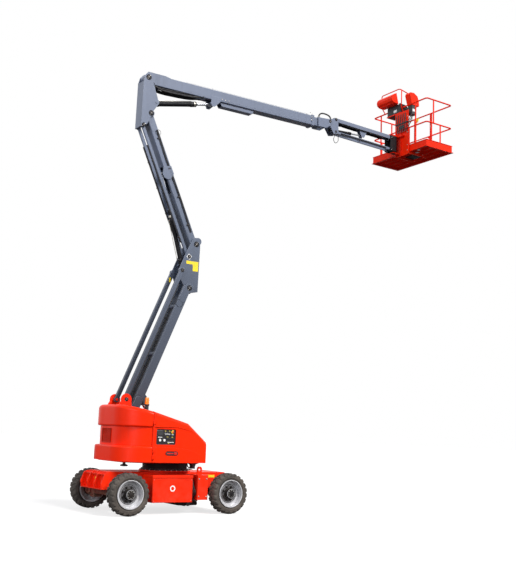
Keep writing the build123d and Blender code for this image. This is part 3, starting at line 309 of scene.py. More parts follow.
def rim_enamel():
    f = Finish("silver_white_rim")
    cloud = f.noise(14.0, 5.0, 0.6, 0.35, 0.7)
    base = f.mix(rgb(214, 214, 218), rgb(168, 166, 168), cloud * 0.5)
    grime = f.noise(26.0, 6.0, 0.7, 0.5, 0.72)
    base = f.mix(base, rgb(112, 98, 88), grime * 0.45)
    # The rim's edges are painted paler: partly worn enamel, partly a painted highlight.
    base, soft = f.worn(base, rgb(240, 240, 242), 0.35)
    return f.done(Base_Color=base, Roughness=0.36 + grime * 0.3, Metallic=0.25, Coat_Weight=0.1,
                  Normal=f.relief(f.noise(300.0, 2.0), 0.0005, soft))


finishes["tyre_rubber"] = rubber()
finishes["white_rim"] = rim_enamel()


# %% Chrome, plastic, steel and lens
def chrome():
    f = Finish("hard_chrome")
    rings = f.noise(90.0, 3.0, 0.5, 0.3, 0.7)
    base = f.mix(rgb(214, 216, 222), rgb(150, 152, 160), rings * 0.5)
    return f.done(Base_Color=base, Metallic=1.0, Roughness=0.14 + rings * 0.12,
                  Normal=f.relief(rings, 0.0002))


def plastic(name, colour, pale, rough=0.5, grain_size=300.0):
    f = Finish(name)
    drift = f.noise(3.0, 3.0, low=0.3, high=0.7)
    base = f.mix(colour, pale, drift * 0.5)
    # Edges take the pale colour: partly rubbed plastic, partly a painted highlight.
    base, soft = f.worn(base, pale, 0.6)
    grain = f.noise(grain_size, 3.0)
    return f.done(Base_Color=base, Roughness=rough + grain * 0.12, Normal=f.relief(grain, 0.0006, soft))


def steel(name, colour, rough=0.35):
    f = Finish(name)
    spots = f.noise(70.0, 5.0, 0.7, 0.5, 0.7)
    base = f.mix(colour, rgb(104, 84, 66), spots * 0.35)
    # Edges are painted bright: partly bare worn steel, partly a painted highlight.
    base, soft = f.worn(base, rgb(226, 226, 228), 0.5, 0.003)
    return f.done(Base_Color=base, Metallic=0.85,
                  Roughness=rough + spots * 0.3, Normal=f.relief(f.noise(260.0, 3.0), 0.0004, soft))


def lens():
    f = Finish("amber_lens")
    flutes = f.node("ShaderNodeTexWave", {"wave_type": "BANDS", "bands_direction": "Z"}, Vector=f.place,
                    Scale=40.0, Distortion=0.0)
    base = f.mix(rgb(255, 150, 24), rgb(232, 98, 6), flutes * 0.6)
    return f.done(Base_Color=base, Roughness=0.12 + f.noise(50.0) * 0.1, Coat_Weight=0.8,
                  Emission_Color=base, Emission_Strength=0.12, Normal=f.relief(flutes, 0.001))


finishes.update({
    "chrome_rod": chrome(),
    "black_plastic": plastic("moulded_black", rgb(30, 31, 34), rgb(66, 68, 74)),
    "amber_lens": lens(),
    "hose": plastic("hose_rubber", rgb(24, 24, 27), rgb(58, 58, 62), 0.44, 500.0),
    "zinc": steel("zinc_fastener", rgb(196, 192, 182)),
    "dark_steel": steel("black_oxide", rgb(52, 52, 56), 0.45),
    "yellow": plastic("yellow_label", rgb(252, 218, 24), rgb(255, 236, 96), 0.35),
    "white": plastic("white_label", rgb(238, 238, 236), rgb(250, 250, 250), 0.35),
    "red_knob": plastic("red_knob", rgb(214, 26, 20), rgb(240, 70, 50), 0.3),
})
print(len(finishes), "finishes")

# %% [markdown]
# ## Dressing the CAD pieces
# Each CAD node names the slot that its finish belongs to, so one loop paints the whole machine. The nodes' meshes
# stay as they are: only the material in their slots changes.

# %% Paint every CAD node
for node, item in frame["nodes"].items():
    item.data.materials.clear()
    item.data.materials.append(finishes[slot_of[node]])
print("painted", len(frame["nodes"]), "CAD nodes")

# %% [markdown]
# ## Studio
# A pale floor and a white world make a plain studio. The world is white where the camera, a mirror or glass looks at
# it, and a softer grey as a light source, so that white backgrounds don't flood the paint. The main light is a wide
# sun from the near side and above; it leaves the faces towards the rear darker and the undersides darkest.

# %% World
sky = Finish("studio", bpy.data.worlds.new("studio"))
bpy.context.scene.world = sky.material
seen, glossy, through = (sky.node("ShaderNodeLightPath", out=ray)
                         for ray in ("Is Camera Ray", "Is Glossy Ray", "Is Transmission Ray"))
soft_light = sky.node("ShaderNodeBackground", Color=(0.93, 0.96, 1.0), Strength=0.42)
white = sky.node("ShaderNodeBackground", Color=(1, 1, 1))
sky.end(sky.node("ShaderNodeMixShader", Fac=(seen + (glossy + through)).held(), Shader=soft_light, Shader_001=white),
        "ShaderNodeOutputWorld")

# %% Floor
half_floor = 90.0
floor_mesh = bpy.data.meshes.new("floor")
floor_mesh.from_pydata([(x * half_floor, y * half_floor, 0) for x, y in ((-1, -1), (1, -1), (1, 1), (-1, 1))], [],
                       [(0, 1, 2, 3)])
floor = bpy.data.objects.new("floor", floor_mesh)
bpy.context.scene.collection.objects.link(floor)
pale = Finish("pale_floor")
bounce = pale.node("ShaderNodeBsdfDiffuse", Color=(0.1, 0.1, 0.1))
shown = pale.node("ShaderNodeAddShader", Shader=pale.node("ShaderNodeBsdfDiffuse", Color=(0.34, 0.34, 0.34)),
                  Shader_001=pale.node("ShaderNodeEmission", Strength=0.72))
floor_mesh.materials.append(pale.end(pale.node(
    "ShaderNodeMixShader", Fac=pale.node("ShaderNodeLightPath", out="Is Camera Ray"), Shader=bounce,
    Shader_001=shown)))

# %% Lights
def sun(name, towards, strength, angle, colour=(1, 1, 1)):
    """A distant light that shines along a direction, with soft shadows from its angle."""
    lamp = bpy.data.lights.new(name, "SUN")
    lamp.energy, lamp.angle, lamp.color = strength, math.radians(angle), colour
    item = bpy.data.objects.new(name, lamp)
    item.rotation_mode = "QUATERNION"
    item.rotation_quaternion = Vector(towards).to_track_quat("-Z", "Y")
    bpy.context.scene.collection.objects.link(item)


sun("key", (-0.25, 0.85, -0.75), 3.4, 20, (1.0, 0.985, 0.96))
sun("fill", (0.8, 0.30, -0.30), 1.5, 40, (0.94, 0.96, 1.0))
bpy.context.scene.view_settings.view_transform = "Standard"
print("studio ready")

# %% [markdown]
# ## A batch of small forms
# Bolts, pins, lugs and hoses are many small forms that belong to one piece. Arrays or Geometry Nodes could place
# them, but most stand at odd angles on the arm, so a batch gathers them in one bmesh: plates, lathe forms and tubes,
# each put in place by a matrix. It ends as one object that rides on one body.

# %% Where a form stands
def facing(origin, direction):
    """The place whose local Z axis points in a direction."""
    return Matrix.Translation(origin) @ Vector(direction).to_track_quat("Z", "Y").to_matrix().to_4x4()


def flank(x, y, z, side):
    """The place on the near (-1) or far (1) side that faces away from the machine."""
    return facing((x, side * y, z), (0, side, 0))


def around(count, radius, x=0.0, y=0.0, start=0.0):
    """Points spaced evenly round a circle."""
    turns = [start + 2 * math.pi * index / count for index in range(count)]
    return [(x + radius * math.cos(turn), y + radius * math.sin(turn)) for turn in turns]


def heading(start, end):
    return (end - start).normalized()


def along(start, end):
    """Places on a bar of the arm: u from its start, v to the left of its line, y across."""
    ahead = heading(Vector((start[0], 0, start[2])), Vector((end[0], 0, end[2])))
    side = Vector((-ahead.z, 0, ahead.x))
    return lambda u, v, y=0.0: Vector((start[0], y, start[2])) + ahead * u + side * v


def curved(points, steps=6):
    """A smooth run through points, by the rule that each point's slope follows its neighbours."""
    points = [Vector(p) for p in points]
    ends = [2 * points[0] - points[1], *points, 2 * points[-1] - points[-2]]
    run = []
    for a, b, c, d in zip(ends, ends[1:], ends[2:], ends[3:]):
        for step in range(steps):
            t = step / steps
            run.append(0.5 * (2 * b + (c - a) * t + (2 * a - 5 * b + 4 * c - d) * t ** 2
                              + (3 * b - a - 3 * c + d) * t ** 3))
    return run + [points[-1]]


# %% The batch
both = (-1, 1)
sides_named = (("near", -1), ("far", 1))


def ring(inner, outer, low, high):
    """The closed profile of a flat ring."""
    return [(inner, low), (inner, high), (outer, high), (outer, low), (inner, low)]


def disc(radius, first, last):
    """The profile of a plain round bar, from one height to the other."""
    return [(0, first), (radius, first), (radius, last), (0, last)]


class Batch:
    """Small forms gathered into one piece."""

    def __init__(self, name, body, finish, soft=0.0, smooth=35):
        self.name, self.body, self.finish, self.soft, self.smooth = name, body, finish, soft, smooth
        self.mesh = bmesh.new()

    def faces(self, points, faces, place=Matrix()):
        corners = [self.mesh.verts.new(place @ Vector(p)) for p in points]
        for face in faces:
            self.mesh.faces.new([corners[i] for i in face])

    def block(self, low, high, place=Matrix()):
        """A straight bar between two corners."""
        points = [(x, y, z) for x in (low[0], high[0]) for y in (low[1], high[1]) for z in (low[2], high[2])]
        self.faces(points, [(0, 1, 3, 2), (4, 6, 7, 5), (0, 4, 5, 1), (2, 3, 7, 6), (0, 2, 6, 4), (1, 5, 7, 3)],
                   place)

    def plate(self, outline, thick, place=Matrix()):
        """A plate from an outline in local X and Y, thick along local Z."""
        count = len(outline)
        points = [(x, y, 0) for x, y in outline] + [(x, y, thick) for x, y in outline]
        sides = [(i, (i + 1) % count, count + (i + 1) % count, count + i) for i in range(count)]
        self.faces(points, [tuple(range(count)), tuple(range(count, 2 * count)), *sides], place)

    def turned(self, profile, place, sides=24):
        """A lathe form: radius and height pairs spun about local Z, open unless its ends lie on the axis."""
        rings = []
        for radius, height in profile:
            turns = [0.0] if radius == 0 else [2 * math.pi * i / sides for i in range(sides)]
            rings.append([self.mesh.verts.new(place @ Vector((radius * math.cos(t), radius * math.sin(t), height)))
                          for t in turns])
        for low, high in zip(rings, rings[1:]):
            for i in range(sides):
                j = (i + 1) % sides
                loop = [low[i % len(low)], low[j % len(low)], high[j % len(high)], high[i % len(high)]]
                unique = list(dict.fromkeys(loop))
                if len(unique) > 2:
                    self.mesh.faces.new(unique)

    def tube(self, points, radius, sides=10):
        """A pipe along a run of points, closed at both ends."""
        points = [Vector(p) for p in points]
        across = (points[1] - points[0]).orthogonal().normalized()
        rings = []
        for index, point in enumerate(points):
            ahead = (points[min(index + 1, len(points) - 1)] - points[max(index - 1, 0)]).normalized()
            across = (across - ahead * across.dot(ahead)).normalized()
            other = ahead.cross(across)
            turns = [2 * math.pi * i / sides for i in range(sides)]
            rings.append([self.mesh.verts.new(point + (across * math.cos(t) + other * math.sin(t)) * radius)
                          for t in turns])
        for low, high in zip(rings, rings[1:]):
            for i in range(sides):
                j = (i + 1) % sides
                self.mesh.faces.new((low[i], low[j], high[j], high[i]))
        self.mesh.faces.new(rings[0])
        self.mesh.faces.new(rings[-1])

    def bolt(self, place, size):
        """A hexagon head on its washer, standing on the local XY plane; size is across the head."""
        r = size / 2
        self.turned(disc(r * 1.25, 0, size * 0.1), place, 16)
        self.turned([(0, size * 0.1), (r * 1.1, size * 0.1), (r * 1.1, size * 0.5), (r * 0.9, size * 0.6),
                     (0, size * 0.6)], place, 6)

    def done(self, slot=None):
        """Makes the object, gives it its finish and its body, and rounds its edges if it is soft."""
        bmesh.ops.recalc_face_normals(self.mesh, faces=self.mesh.faces)
        mesh = bpy.data.meshes.new(self.name)
        self.mesh.to_mesh(mesh)
        self.mesh.free()
        mesh.shade_smooth()
        mesh.set_sharp_from_angle(angle=math.radians(self.smooth))
        mesh.materials.append(finishes[self.finish])
        item = bpy.data.objects.new(self.name, mesh)
        bpy.context.scene.collection.objects.link(item)
        if self.soft:
            bevel = item.modifiers.new("soft_edges", "BEVEL")
            bevel.width, bevel.segments, bevel.limit_method = self.soft, 2, "ANGLE"
            bevel.angle_limit = math.radians(30)
        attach(item, self.body)
        return item


# %% Pieces of one kind of form
def spun(name, body, finish, soft, profile, places, sides=24):
    """One lathe form at many places."""
    piece = Batch(name, body, finish, soft)
    for place in places:
        piece.turned(profile, place, sides)
    return piece.done()


def bolted(name, body, *rows, soft=0.0):
    """Zinc bolts: each row is a size and the places of its bolts."""
    piece = Batch(name, body, "zinc", soft)
    for size, places in rows:
        for place in places:
            piece.bolt(place, size)
    return piece.done()


def slabs(name, body, finish, soft, boxes, place=Matrix()):
    """Straight bars, each between two corners."""
    piece = Batch(name, body, finish, soft)
    for low, high in boxes:
        piece.block(low, high, place)
    return piece.done()


def mirrored(near, far, *bars):
    """Bars on both sides between two distances from the middle, each from its X and Z limits."""
    for side in both:
        low, high = sorted((side * near, side * far))
        for x0, x1, z0, z1 in bars:
            yield (x0, low, z0), (x1, high, z1)


# %% [markdown]
# ## Tyres
# The tyres are solid rough-terrain rubber: a rounded carcass with a double row of slanted lugs that wrap round the
# shoulder. The CAD tyre holds the same outline in flats. A lug is lofted here through five stations from the middle
# of the tread to the shoulder, because a plain box would stand off the round carcass. A bevel then rounds its edges.

# %% A tyre
wheels = {"steer_near": -1, "steer_far": 1, "drive_near": -1, "drive_far": 1}
lugs_a_side = 22
carcass = [(0.2395, 0.086), (0.262, 0.111), (0.272, 0.1155), (0.278, 0.1175), (0.283, 0.1160), (0.298, 0.1175),
           (0.312, 0.1145), (0.325, 0.104), (0.3345, 0.082), (0.337, 0.04)]
# Stations of a lug from the tread's middle outward: height along the axle, top radius, foot radius, half width
lug_stations = [(0.003, 0.3530, 0.334, 0.020), (0.045, 0.3537, 0.334, 0.029), (0.086, 0.3515, 0.330, 0.031),
                (0.106, 0.342, 0.318, 0.031), (0.1185, 0.322, 0.304, 0.026)]


def tyre(name, side):
    """One tyre with its tread, in place of its CAD node."""
    box = [Vector(corner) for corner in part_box("tyre_" + name)]
    hub = facing((box[0] + box[1]) / 2, (0, side, 0))
    piece = Batch("tread_" + name, "wheel_" + name, "tyre_rubber", 0.0035, 40)
    profile = carcass + [(radius, -height) for radius, height in reversed(carcass)]
    piece.turned(profile + profile[:1], hub, 96)
    for row in (-1, 1):
        for index in range(lugs_a_side):
            middle = 2 * math.pi * (index + (row + 1) / 4) / lugs_a_side
            points, faces = [], []
            for height, top, foot, half in lug_stations:
                turn = middle + (height - 0.06) * 1.15
                for radius, spread in ((foot, -1.12), (top, -0.94), (top, 0.94), (foot, 1.12)):
                    angle = turn + spread * half / radius
                    points.append((radius * math.cos(angle), radius * math.sin(angle), row * height))
            for station in range(len(lug_stations) - 1):
                first = 4 * station
                faces += [(first + i, first + (i + 1) % 4, first + 4 + (i + 1) % 4, first + 4 + i) for i in range(4)]
            faces += [(0, 1, 2, 3), tuple(len(points) - 4 + i for i in range(4))]
            piece.faces(points, faces, hub)
    item = piece.done("tyre_rubber")
    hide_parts("tyre_" + name)
    return hub


hubs = {name: tyre(name, side) for name, side in wheels.items()}
print(len(hubs), "tyres with", 2 * lugs_a_side, "lugs each")

# %% [markdown]
# ## Hubs
# Each wheel has a black planetary hub standing out of a silver-white dish, eight wheel nuts, a ring of cover bolts
# and an air valve's stub. The dish also carries rolled rings near its lip. They are lathe forms about the axle.

# %% Hub covers, nuts and rim rings
def spokes(hub, count, radius, height=0.0, start=0.0):
    """Places round an axle, each turned with its spoke."""
    return [hub @ Matrix.Rotation(2 * math.pi / count * (index + start), 4, "Z")
            @ Matrix.Translation((radius, 0, height)) for index in range(count)]


for name, hub in hubs.items():
    wheel = "wheel_" + name
    cover = Batch("hub_cover_" + name, wheel, "black_paint", 0.0015)
    cover.turned([(0, 0.129), (0.022, 0.129), (0.026, 0.1235), (0.060, 0.1215), (0.072, 0.1195), (0.0795, 0.112),
                  (0.0815, 0.100), (0.0815, 0.05), (0.094, 0.046), (0.096, 0.0225), (0, 0.0225)], hub, 32)
    for nut in spokes(hub, 8, 0.118, start=0.5):
        cover.turned([(0, 0.056), (0.012, 0.056), (0.0165, 0.05), (0.0165, 0.03), (0.021, 0.028), (0.021, 0.0222),
                      (0, 0.0222)], nut, 6)
    cover.done("black_paint")
    trim = Batch("rim_trim_" + name, wheel, "white_rim", 0.001)
    for radius, height in ((0.2315, 0.1035), (0.2165, 0.071), (0.150, 0.0228)):
        trim.turned([(radius, height - 0.004), (radius + 0.0035, height), (radius - 0.002, height + 0.004),
                     (radius - 0.006, height - 0.001), (radius, height - 0.004)], hub, 64)
    trim.tube([hub @ Vector((0.188, 0.02, 0.03)), hub @ Vector((0.190, 0.021, 0.062))], 0.005, 8)
    trim.done("white_rim")
    bolted("hub_bolts_" + name, wheel, (0.0115, spokes(hub, 8, 0.056, 0.1205)))
    spun("rim_dish_" + name, wheel, "power_units", 0.001,
         [(0.098, 0.0222), (0.098, 0.0245), (0.158, 0.0245), (0.166, 0.0222), (0.098, 0.0222)], [hub], 64)
print("hubs dressed")

# %% [markdown]
# ## Chassis hardware
# The slewing ring is a toothed ring bolted to the frame, with the turret's drum turning inside its cover. Round it
# stand flange bolts. The side box has a frame round its door, two handles and a plain ring for a badge. Yellow
# labels, left blank, mark the frame. Hoses and valves fill the gap between the box and the lifting plate.

# %% Slewing ring
ring_box = [Vector(corner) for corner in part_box("slew_ring")]
ring_middle = Vector(((ring_box[0].x + ring_box[1].x) / 2, 0, ring_box[0].z))
ring_radius = (ring_box[1].x - ring_box[0].x) / 2
flange = facing(ring_middle, (0, 0, 1))

teeth = Batch("slew_gear", "chassis", "dark_steel")
count = 84
outline = []
for index in range(count):
    for share, radius in ((0.0, 0.006), (0.28, 0.026), (0.5, 0.026), (0.78, 0.006)):
        angle = 2 * math.pi * (index + share) / count
        outline.append((math.cos(angle) * (ring_radius + radius), math.sin(angle) * (ring_radius + radius)))
top = [(x, y, 0.032) for x, y in outline]
foot = [(x, y, 0.004) for x, y in outline]
size = len(outline)
teeth.faces(top + foot, [tuple(range(size))] + [(i, (i + 1) % size, size + (i + 1) % size, size + i)
                                                for i in range(size)], flange)
teeth.done()
bolted("slew_bolts", "chassis", (0.018, [flange @ Matrix.Translation((x, y, 0)) for x, y in around(28, 0.444)]))

drive_x, drive_y = 0.545, -0.225
drive_axis = facing((drive_x, drive_y, 0.775), (0, 0, 1))
drive = Batch("slew_drive", "turret", "dark_steel", 0.002)
drive.turned([(0, 0.085), (0.055, 0.085), (0.055, 0.03), (0.048, 0.022), (0.048, -0.022), (0, -0.022)], drive_axis, 28)
drive.turned([(0.050, 0.085), (0.082, 0.085), (0.082, 0.06), (0.050, 0.06)], drive_axis, 28)
for x, y in around(6, 0.067, drive_x, drive_y):
    drive.bolt(facing((x, y, 0.833), (0, 0, -1)), 0.014)
for low, high, turn in ((-0.34, -0.24, 1), (-0.2, -0.08, -1)):
    drive.tube(curved([(0.36, low, 0.855), (0.37, low - 0.02, 0.8), (0.44, (low + high) / 2, 0.77),
                       (0.50, high + 0.02 * turn, 0.79)]), 0.010)
drive.done()
print("slewing ring with", count, "teeth")

# %% Rubber stop and pin below the tail
stop = Batch("tail_stop", "turret", "hose", 0.002)
stop.turned([(0, 0.88), (0.024, 0.88), (0.024, 0.84), (0.030, 0.832), (0.060, 0.822), (0.066, 0.812), (0.062, 0.797),
             (0, 0.792)], Matrix.Translation((-0.90, -0.40, 0)), 28)
stop.turned([(0, 0.88), (0.014, 0.88), (0.014, 0.815), (0.010, 0.81), (0, 0.81)],
            Matrix.Translation((-0.52, -0.44, 0)), 16)
stop.done()


# %% Frame labels, handles and the blank badge
for name, low, high in (("frame_label", (0.655, -0.3625, 0.604), (0.935, -0.3598, 0.652)),
                        ("end_label_far", (-1.2085, -0.005, 0.535), (-1.2055, 0.065, 0.592)),
                        ("end_label_near", (-1.2085, -0.425, 0.552), (-1.2055, -0.375, 0.602))):
    slabs(name, "chassis", "yellow", 0.0012, [(low, high)])
box = [Vector(corner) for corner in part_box("side_boxes")]
spun("blank_badge", "chassis", "white", 0.0015, ring(0.030, 0.052, 0.0, 0.0025),
     [facing((-0.112, box[0].y + 0.0035, 0.44), (0, -1, 0))], 40)
door = box[1].y - 0.0045
bars = [(x, x + 0.012, 0.215, 0.612) for x in (-0.492, 0.262)]
bars += [(-0.492, 0.274, z, z + 0.010) for z in (0.213, 0.604)]
bars += [(x, x + 0.07, 0.584, 0.596) for x in (-0.40, 0.13)]
slabs("side_box_trim", "chassis", "red_paint", 0.0025, mirrored(door, door + 0.005, *bars))
bolted("side_box_fasteners", "chassis", (0.010, [flank(x, box[1].y - 0.001, z, side) for side in both
                                                 for x in (-0.478, 0.258) for z in (0.236, 0.588)]), soft=0.0005)

# %% Valves and hoses beside the box
fittings = Batch("recess_valves", "chassis", "dark_steel", 0.002)
for side in both:
    for z in (0.30, 0.40, 0.50):
        fittings.block((0.30, side * 0.52 - 0.05, z), (0.37, side * 0.52 + 0.05, z + 0.06))
        fittings.turned(disc(0.018, 0.03, 0), flank(0.335, 0.57, z + 0.03, side), 16)
fittings.done()
lines = Batch("recess_hoses", "chassis", "hose")
for side in both:
    for index, x in enumerate((0.305, 0.33, 0.358)):
        lines.tube(curved([(x, side * 0.60, 0.25), (x + 0.012, side * (0.63 + 0.015 * index), 0.36),
                           (x - 0.008, side * 0.62, 0.48), (x, side * 0.56, 0.60), (x - 0.02, side * 0.46, 0.66)]),
                   0.011)
lines.done()
bolted("plate_bolts", "chassis",
       (0.020, [flank(x, 0.706, z, side) for side in both for x in (0.42, 0.57) for z in (0.30, 0.60)]),
       (0.018, [flank(x, 0.36, 0.47, side) for side in both for x in (-0.95, -0.62, 0.62, 0.95)]))
print("chassis dressed")

# %% [markdown]
# ## Covers
# The tail and the two hoods are moulded plastic shells over the batteries and the pump. A latch in a recess holds
# each hood shut, and the tail carries a louvred vent. The louvres are slats set at an angle inside a frame, which is
# how a pressed vent keeps rain out.

# %% Vent in the tail
vent = Batch("tail_vent", "turret", "cast_weight", 0.002)
vent_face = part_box("tail_cover")[0][0] + 0.085
for y0, y1, z0, z1 in ((-0.10, 0.26, 1.18, 1.196), (-0.10, 0.26, 1.414, 1.43), (-0.10, -0.086, 1.196, 1.414),
                       (0.246, 0.26, 1.196, 1.414)):
    vent.block((vent_face - 0.012, y0, z0), (vent_face, y1, z1))
slats = 11
for index in range(slats):
    height = 1.205 + index * 0.0195
    tilt = Matrix.Translation((vent_face - 0.004, 0.08, height)) @ Matrix.Rotation(math.radians(38), 4, "Y")
    vent.block((-0.011, -0.166, -0.0015), (0.011, 0.166, 0.0015), tilt)
vent.done()
print(slats, "louvres")

# %% Latches of the hoods
latch_middle = Vector((-0.245, 0.8700, 1.035))
latch_long, latch_high = 0.23, 0.062
slot_outline = [(side * (latch_long / 2 - latch_high / 2) + latch_high / 2 * math.cos(turn),
                 latch_high / 2 * math.sin(turn))
                for side, start in ((1, -90), (-1, 90))
                for turn in [math.radians(start + 18 * step) for step in range(11)]]
for name, side in sides_named:
    level = (Matrix.Translation((latch_middle.x, side * latch_middle.y, latch_middle.z))
             @ Matrix.Rotation(-side * math.pi / 2, 4, "X"))
    slot_plate = Batch("latch_slot_" + name, "hood_" + name, "hose", 0.001)
    slot_plate.plate(slot_outline, 0.0045, level)
    slot_plate.done()
    slabs("latch_paddle_" + name, "hood_" + name, "red_knob", 0.0015,
          [((0.045, -0.022, 0.002), (0.098, 0.022, 0.0085)), ((-0.09, -0.010, 0.002), (0.03, 0.010, 0.0065))], level)

# %% Beacon
# The beacon's base is a ribbed rubber boot, and the lamp is a fluted lens with a cap
lamp_box = [Vector(corner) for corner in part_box("beacon")]
lamp = (lamp_box[0] + lamp_box[1]) / 2
radius = (lamp_box[1].x - lamp_box[0].x) / 2
base, crown = lamp_box[0].z, lamp_box[1].z
stand = Batch("beacon_boot", "turret", "hose", 0.0008)
profile = [(0, base), (radius, base), (radius, base + 0.012)]
for rib in range(7):
    z = base + 0.018 + rib * 0.0185
    profile += [(radius * 0.70, z), (radius * 0.88, z + 0.004), (radius * 0.88, z + 0.009), (radius * 0.70, z + 0.013)]
profile += [(radius * 0.95, base + 0.150), (radius, base + 0.156), (radius, base + 0.172), (0, base + 0.172)]
stand.turned(profile, Matrix.Translation((lamp.x, lamp.y, 0)), 36)
stand = stand.done("black_plastic")
glass = Batch("beacon_lens", "turret", "amber_lens", 0.0006, 50)
profile = [(0, base + 0.172), (radius * 0.96, base + 0.172)]
steps = 14
for flute in range(steps):
    z = base + 0.175 + flute * (crown - base - 0.192) / steps
    shrink = 1 - 0.13 * flute / steps
    profile += [(radius * 0.95 * shrink, z), (radius * 0.905 * shrink, z + 0.0045)]
profile += [(radius * 0.78, crown - 0.012), (radius * 0.6, crown - 0.003), (radius * 0.3, crown), (0, crown)]
glass.turned(profile, Matrix.Translation((lamp.x, lamp.y, 0)), 40)
glass = glass.done("amber_lens")
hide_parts("beacon")
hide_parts("beacon")
print("beacon dressed")

# %% [markdown]
# ## Ground control panel
# A second set of controls stands in the hood's window, so that someone on the ground can lower the platform. It has
# a display, a red stop button in a yellow collar, a key switch, rows of toggle switches in rubber boots and a
# gauge. The labels are left blank.

# %% Panel parts
panel_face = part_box("ground_controls")[0][1]
dials = ((-0.47, 1.255), (-0.385, 1.255))


def on_panel(x, z, out=0.0):
    """The place on the panel whose local Z points out of it."""
    return facing((x, panel_face + 0.010 - out, z), (0, -1, 0))


plate = Batch("panel_plate", "turret", "dark_steel", 0.0015)
plate.block((-0.535, panel_face + 0.008, 1.19), (-0.18, panel_face + 0.012, 1.43))
plate.block((-0.525, panel_face + 0.002, 1.325), (-0.41, panel_face + 0.010, 1.415))
for x in (-0.37, -0.33, -0.29):
    for z in (1.385, 1.335):
        plate.turned([(0, 0.010), (0.004, 0.010), (0.0055, 0.004), (0.010, 0.003), (0.011, 0), (0, 0)],
                     on_panel(x, z, 0.002), 14)
for x, z in dials:
    plate.turned([(0, 0.006), (0.026, 0.006), (0.030, 0.003), (0.030, 0), (0, 0)], on_panel(x, z, 0.002), 28)
plate.done()
screen = Batch("panel_screen", "turret", "black_plastic", 0.001)
screen.block((-0.515, panel_face, 1.335), (-0.42, panel_face + 0.003, 1.405))
for row in range(2):
    for column in range(5):
        screen.turned([(0, 0.011), (0.0035, 0.011), (0.006, 0.003), (0.010, 0.002), (0.010, 0), (0, 0)],
                      on_panel(-0.325 + column * 0.032, 1.285 - row * 0.042, 0.001), 12)
screen.done()
collar = Batch("panel_collar", "turret", "yellow", 0.0006)
collar.turned([(0, 0.004), (0.027, 0.004), (0.028, 0.002), (0.028, 0), (0, 0)], on_panel(-0.228, 1.397, 0.002), 28)
for x, z in ((-0.37, 1.41), (-0.29, 1.41), (-0.33, 1.31), (-0.235, 1.31), (-0.30, 1.205)):
    collar.block((x - 0.013, panel_face + 0.0055, z - 0.004), (x + 0.013, panel_face + 0.0085, z + 0.004))
collar.done()
spun("panel_stop", "turret", "red_knob", 0.0008,
     [(0, 0.0115), (0.010, 0.0112), (0.0165, 0.0095), (0.0185, 0.007), (0.0175, 0.004), (0.011, 0.003), (0, 0.003)],
     [on_panel(-0.228, 1.397, 0.0005)])
notes = Batch("panel_notes", "turret", "white", 0.0004)
for x, z, half in ((-0.228, 1.352, 0.018), (-0.33, 1.36, 0.05), (-0.26, 1.222, 0.06), (-0.47, 1.305, 0.04)):
    notes.block((x - half, panel_face + 0.0058, z - 0.005), (x + half, panel_face + 0.0085, z + 0.005))
for x, z in dials:
    notes.turned(disc(0.021, 0.0072, 0.006), on_panel(x, z, 0.0022), 24)
notes.done()
print("panel dressed")

# %% [markdown]
# ## Pins of the arm
# Every joint of the arm turns on a steel pin with a head on one side and a keeper plate bolted on the other, which
# stops the pin from turning or walking out. A pin belongs to the body whose ears it is locked in.

# %% Pins and keepers
foot, knee, upper_foot, head, boom_root, nose, jib_root, jib_tip = (pivot[joint] for joint in (
    "riser_lift", "mid_knuckle_level", "upper_riser_fold", "top_knuckle_level", "boom_luff", "nose_level", "jib_lift",
    "jib_head_level"))
lower_link_foot, upper_link_foot, jib_link_root = (pivot[joint] for joint in (
    "lower_links_follow", "upper_links_follow", "jib_links_follow"))
link_knee = knee + (lower_link_foot - foot)
link_head = head + (upper_link_foot - upper_foot)
jib_link_tip = jib_tip + (jib_link_root - jib_root)
riser_lower, riser_upper, jib = along(foot, knee), along(upper_foot, head), along(jib_root, jib_tip)

# Middle of the pin, body that holds it, half length outside its ears, radius of the pin
pins = {
    "foot": (foot, "turret", 0.240, 0.035), "lower_link_foot": (lower_link_foot, "turret", 0.240, 0.025),
    "knee": (knee, "lower_riser", 0.205, 0.035), "link_knee": (link_knee, "lower_links", 0.205, 0.025),
    "upper_link_foot": (upper_link_foot, "mid_knuckle", 0.140, 0.025),
    "upper_foot": (upper_foot, "mid_knuckle", 0.140, 0.035), "head": (head, "top_knuckle", 0.123, 0.035),
    "link_head": (link_head, "top_knuckle", 0.123, 0.025), "boom_root": (boom_root, "top_knuckle", 0.123, 0.035),
    "nose": (nose, "boom_extension", 0.119, 0.022), "jib_root": (jib_root, "level_bracket", 0.100, 0.022),
    "jib_link_root": (jib_link_root, "level_bracket", 0.100, 0.018),
    "jib_tip": (jib_tip, "jib_head", 0.100, 0.022), "jib_link_tip": (jib_link_tip, "jib_head", 0.100, 0.018),
}
for name, (middle, body, reach, radius) in pins.items():
    pin = Batch("pin_" + name, body, "dark_steel", 0.0008)
    keeper = Batch("keeper_" + name, body, "black_paint", 0.001)
    locks = Batch("locks_" + name, body, "zinc")
    for side in both:
        out = facing(middle + Vector((0, side * reach, 0)), (0, side, 0))
        pin.turned([(0, -0.002), (radius * 1.02, -0.002), (radius * 1.02, 0.009), (radius * 0.9, 0.0115),
                    (radius * 0.3, 0.0115), (radius * 0.24, 0.0085), (0, 0.0085)], out, 28)
        keeper.turned(ring(radius * 1.06, radius * 1.5, -0.001, 0.006), out, 28)
        locks.bolt(out @ Matrix.Translation((0, 0, 0.0085)), radius * 0.42)
        for x, y in around(2, radius * 1.27, start=0.9):
            locks.bolt(out @ Matrix.Translation((x, y, 0.006)), radius * 0.34)
    for piece in (pin, keeper, locks):
        piece.done()
print(len(pins), "pins")

